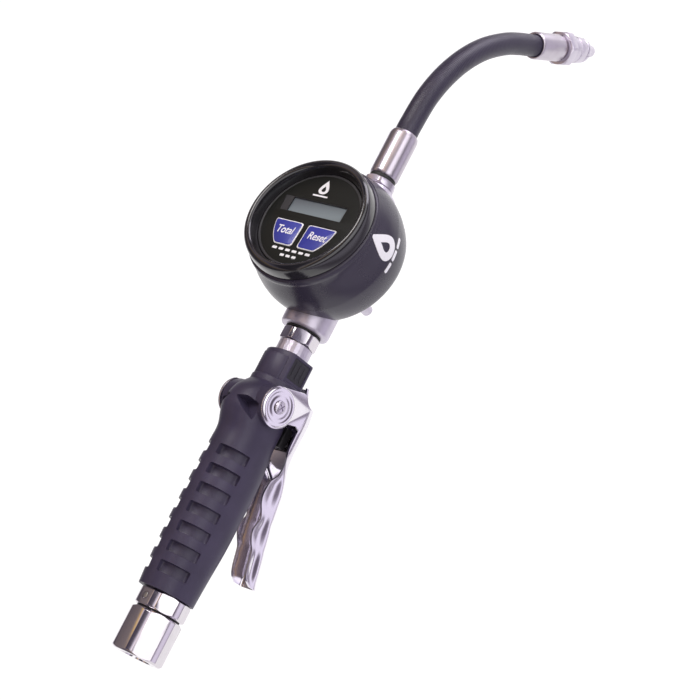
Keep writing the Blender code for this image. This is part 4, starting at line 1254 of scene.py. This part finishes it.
@dataclass
class Internals:
    """The carried-over CAD nodes: pieces inside the gun that keep their shapes and get their finishes."""

    finishes: Sequence[tuple[Finish, Sequence[str]]] = (
        (STEEL, ("race_ring", "poppet", "push_pin", "spring_seat", "valve_spring")),
        (STEEL, ("chamber_cover", "gear_post_1", "gear_post_2")),
        (STEEL, ("cover_screw_1", "cover_screw_2", "cover_screw_3", "cover_screw_4")),
        (BRASS, ("inlet_strainer", "valve_seat", "pivot_bush_near", "pivot_bush_far")),
        (PALE_ZINC, ("swivel_stem",)),
        (CASTING, ("valve_body",)),
        (SEAL, ("poppet_seal",)),
        (GEAR, ("oval_gear_1", "oval_gear_2")),
        (PLASTIC, ("register_case",)),
        (BOARD, ("circuit_board",)),
        (CELL, ("battery_1", "battery_2")),
        (SCREEN, ("display",)),
    )

    def dress(self, nodes: dict[str, Object]) -> None:
        """Give each carried-over node its finish."""
        for finish, names in self.finishes:
            for name in names:
                slots = nodes[name].data.materials
                slots.clear()
                slots.append(finish.material())
                LOG.info("%s: CAD node in %s", name, finish.name)


@dataclass
class Studio:
    """The camera, the pale floor and the soft lights."""

    eye: Place = (-0.0594, -0.8597, 0.6795)
    right: Place = (0.4357, -0.6647, -0.6069)
    down: Place = (-0.8609, -0.1108, -0.4966)
    ahead: Place = (0.2628, 0.7389, -0.6205)
    lens: float = 88.8
    floor: float = -0.42
    room: float = 1.6
    bands: Sequence[tuple[float, Colour]] = (
        (0.060, (0.36, 0.33, 0.40)),
        (0.095, (0.12, 0.10, 0.13)),
        (0.115, (0.56, 0.52, 0.62)),
        (0.160, (0.60, 0.56, 0.66)),
        (0.185, (0.12, 0.10, 0.13)),
        (0.230, (0.05, 0.04, 0.06)),
        (0.245, (0.06, 0.05, 0.07)),
        (0.262, (1.00, 0.98, 1.00)),
        (0.342, (1.00, 0.98, 1.00)),
        (0.362, (0.09, 0.08, 0.12)),
        (0.400, (0.06, 0.05, 0.08)),
        (0.425, (0.72, 0.46, 0.12)),
        (0.440, (0.85, 0.80, 0.90)),
        (0.470, (0.07, 0.06, 0.08)),
        (0.560, (0.02, 0.018, 0.03)),
        (0.585, (0.42, 0.38, 0.52)),
        (0.605, (0.55, 0.36, 0.10)),
        (0.622, (0.18, 0.15, 0.15)),
        (0.675, (0.06, 0.05, 0.06)),
        (0.760, (0.12, 0.11, 0.14)),
    )

    def build(self) -> None:
        """Set up camera, floor, lights and surroundings."""
        self.camera()
        self.ground()
        self.lamp("key_softbox", (0.9, -0.1, 1.3), 0.6, 9.0, (1.0, 0.97, 0.96))
        self.lamp("fill_softbox", (0.9, -1.5, 0.6), 1.4, 3.0, (0.96, 0.93, 1.0))
        self.lamp("end_softbox", (1.7, -0.35, 0.15), 0.8, 7.0, (0.93, 0.88, 1.0))
        self.surroundings()
        bpy.context.scene.view_settings.view_transform = "Standard"

    def camera(self) -> None:
        """Add the camera."""
        data = bpy.data.cameras.new("camera")
        data.lens, data.sensor_width, data.clip_start = self.lens, 36.0, 0.01
        camera = bpy.data.objects.new("camera", data)
        bpy.context.scene.collection.objects.link(camera)
        columns = (Vector(self.right), -Vector(self.down), -Vector(self.ahead))
        turn = Matrix([[column[row] for column in columns] for row in range(3)]).to_4x4()
        camera.matrix_world = Matrix.Translation(self.eye) @ turn
        bpy.context.scene.camera = camera

    def ground(self) -> None:
        """Add the plain pale floor."""
        floor = fresh("floor", bpy.ops.mesh.primitive_plane_add, size=12, location=(0.3, 5.8, self.floor))
        sheet = Sheet("pale_floor")
        sheet.feed("Base Color", (0.25, 0.25, 0.25, 1.0))
        sheet.feed("Emission Color", (0.97, 0.97, 0.98, 1.0))
        sheet.feed("Emission Strength", 0.93)
        sheet.feed("Roughness", 0.9)
        sheet.feed("Specular IOR Level", 0.1)
        floor.data.materials.append(sheet.material)

    def lamp(self, name: str, spot: Place, size: float, power: float, colour: Colour) -> None:
        """Add one soft square light aimed at the gun."""
        data = bpy.data.lights.new(name, "AREA")
        data.size, data.energy, data.color = size, power, colour
        lamp = bpy.data.objects.new(name, data)
        bpy.context.scene.collection.objects.link(lamp)
        lamp.location = spot
        lamp.rotation_euler = (Vector((0.28, 0, 0)) - Vector(spot)).to_track_quat("-Z", "Y").to_euler()

    def surroundings(self) -> None:
        """Light and dark bands that run along the gun, with two thin warm ones."""
        world = bpy.data.worlds.new("room")
        bpy.context.scene.world = world
        world.use_nodes = True
        tree = world.node_tree
        where = tree.nodes.new("ShaderNodeTexCoord")
        split = tree.nodes.new("ShaderNodeSeparateXYZ")
        around = tree.nodes.new("ShaderNodeMath")
        around.operation = "ARCTAN2"
        spread = tree.nodes.new("ShaderNodeMapRange")
        spread.inputs["From Min"].default_value, spread.inputs["From Max"].default_value = -math.pi, math.pi
        ramp = tree.nodes.new("ShaderNodeValToRGB")
        tree.links.new(where.outputs["Generated"], split.inputs[0])
        tree.links.new(split.outputs["Y"], around.inputs[0])
        tree.links.new(split.outputs["Z"], around.inputs[1])
        tree.links.new(around.outputs[0], spread.inputs["Value"])
        tree.links.new(spread.outputs[0], ramp.inputs[0])
        Sheet.stops_on(ramp.color_ramp, self.bands)
        tree.links.new(ramp.outputs[0], tree.nodes["Background"].inputs["Color"])
        tree.nodes["Background"].inputs["Strength"].default_value = self.room


def main() -> None:
    """Build the gun's sub-assemblies in order."""
    logging.basicConfig(level=logging.INFO, format="%(message)s")
    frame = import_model()
    Studio().build()
    for assembly in (Extension(), Swivel(), Grip(), Lever(), Adapter(), Meter(), Register()):
        assembly.build()
    Internals().dress(frame["nodes"])


if __name__ == "__main__":
    main()
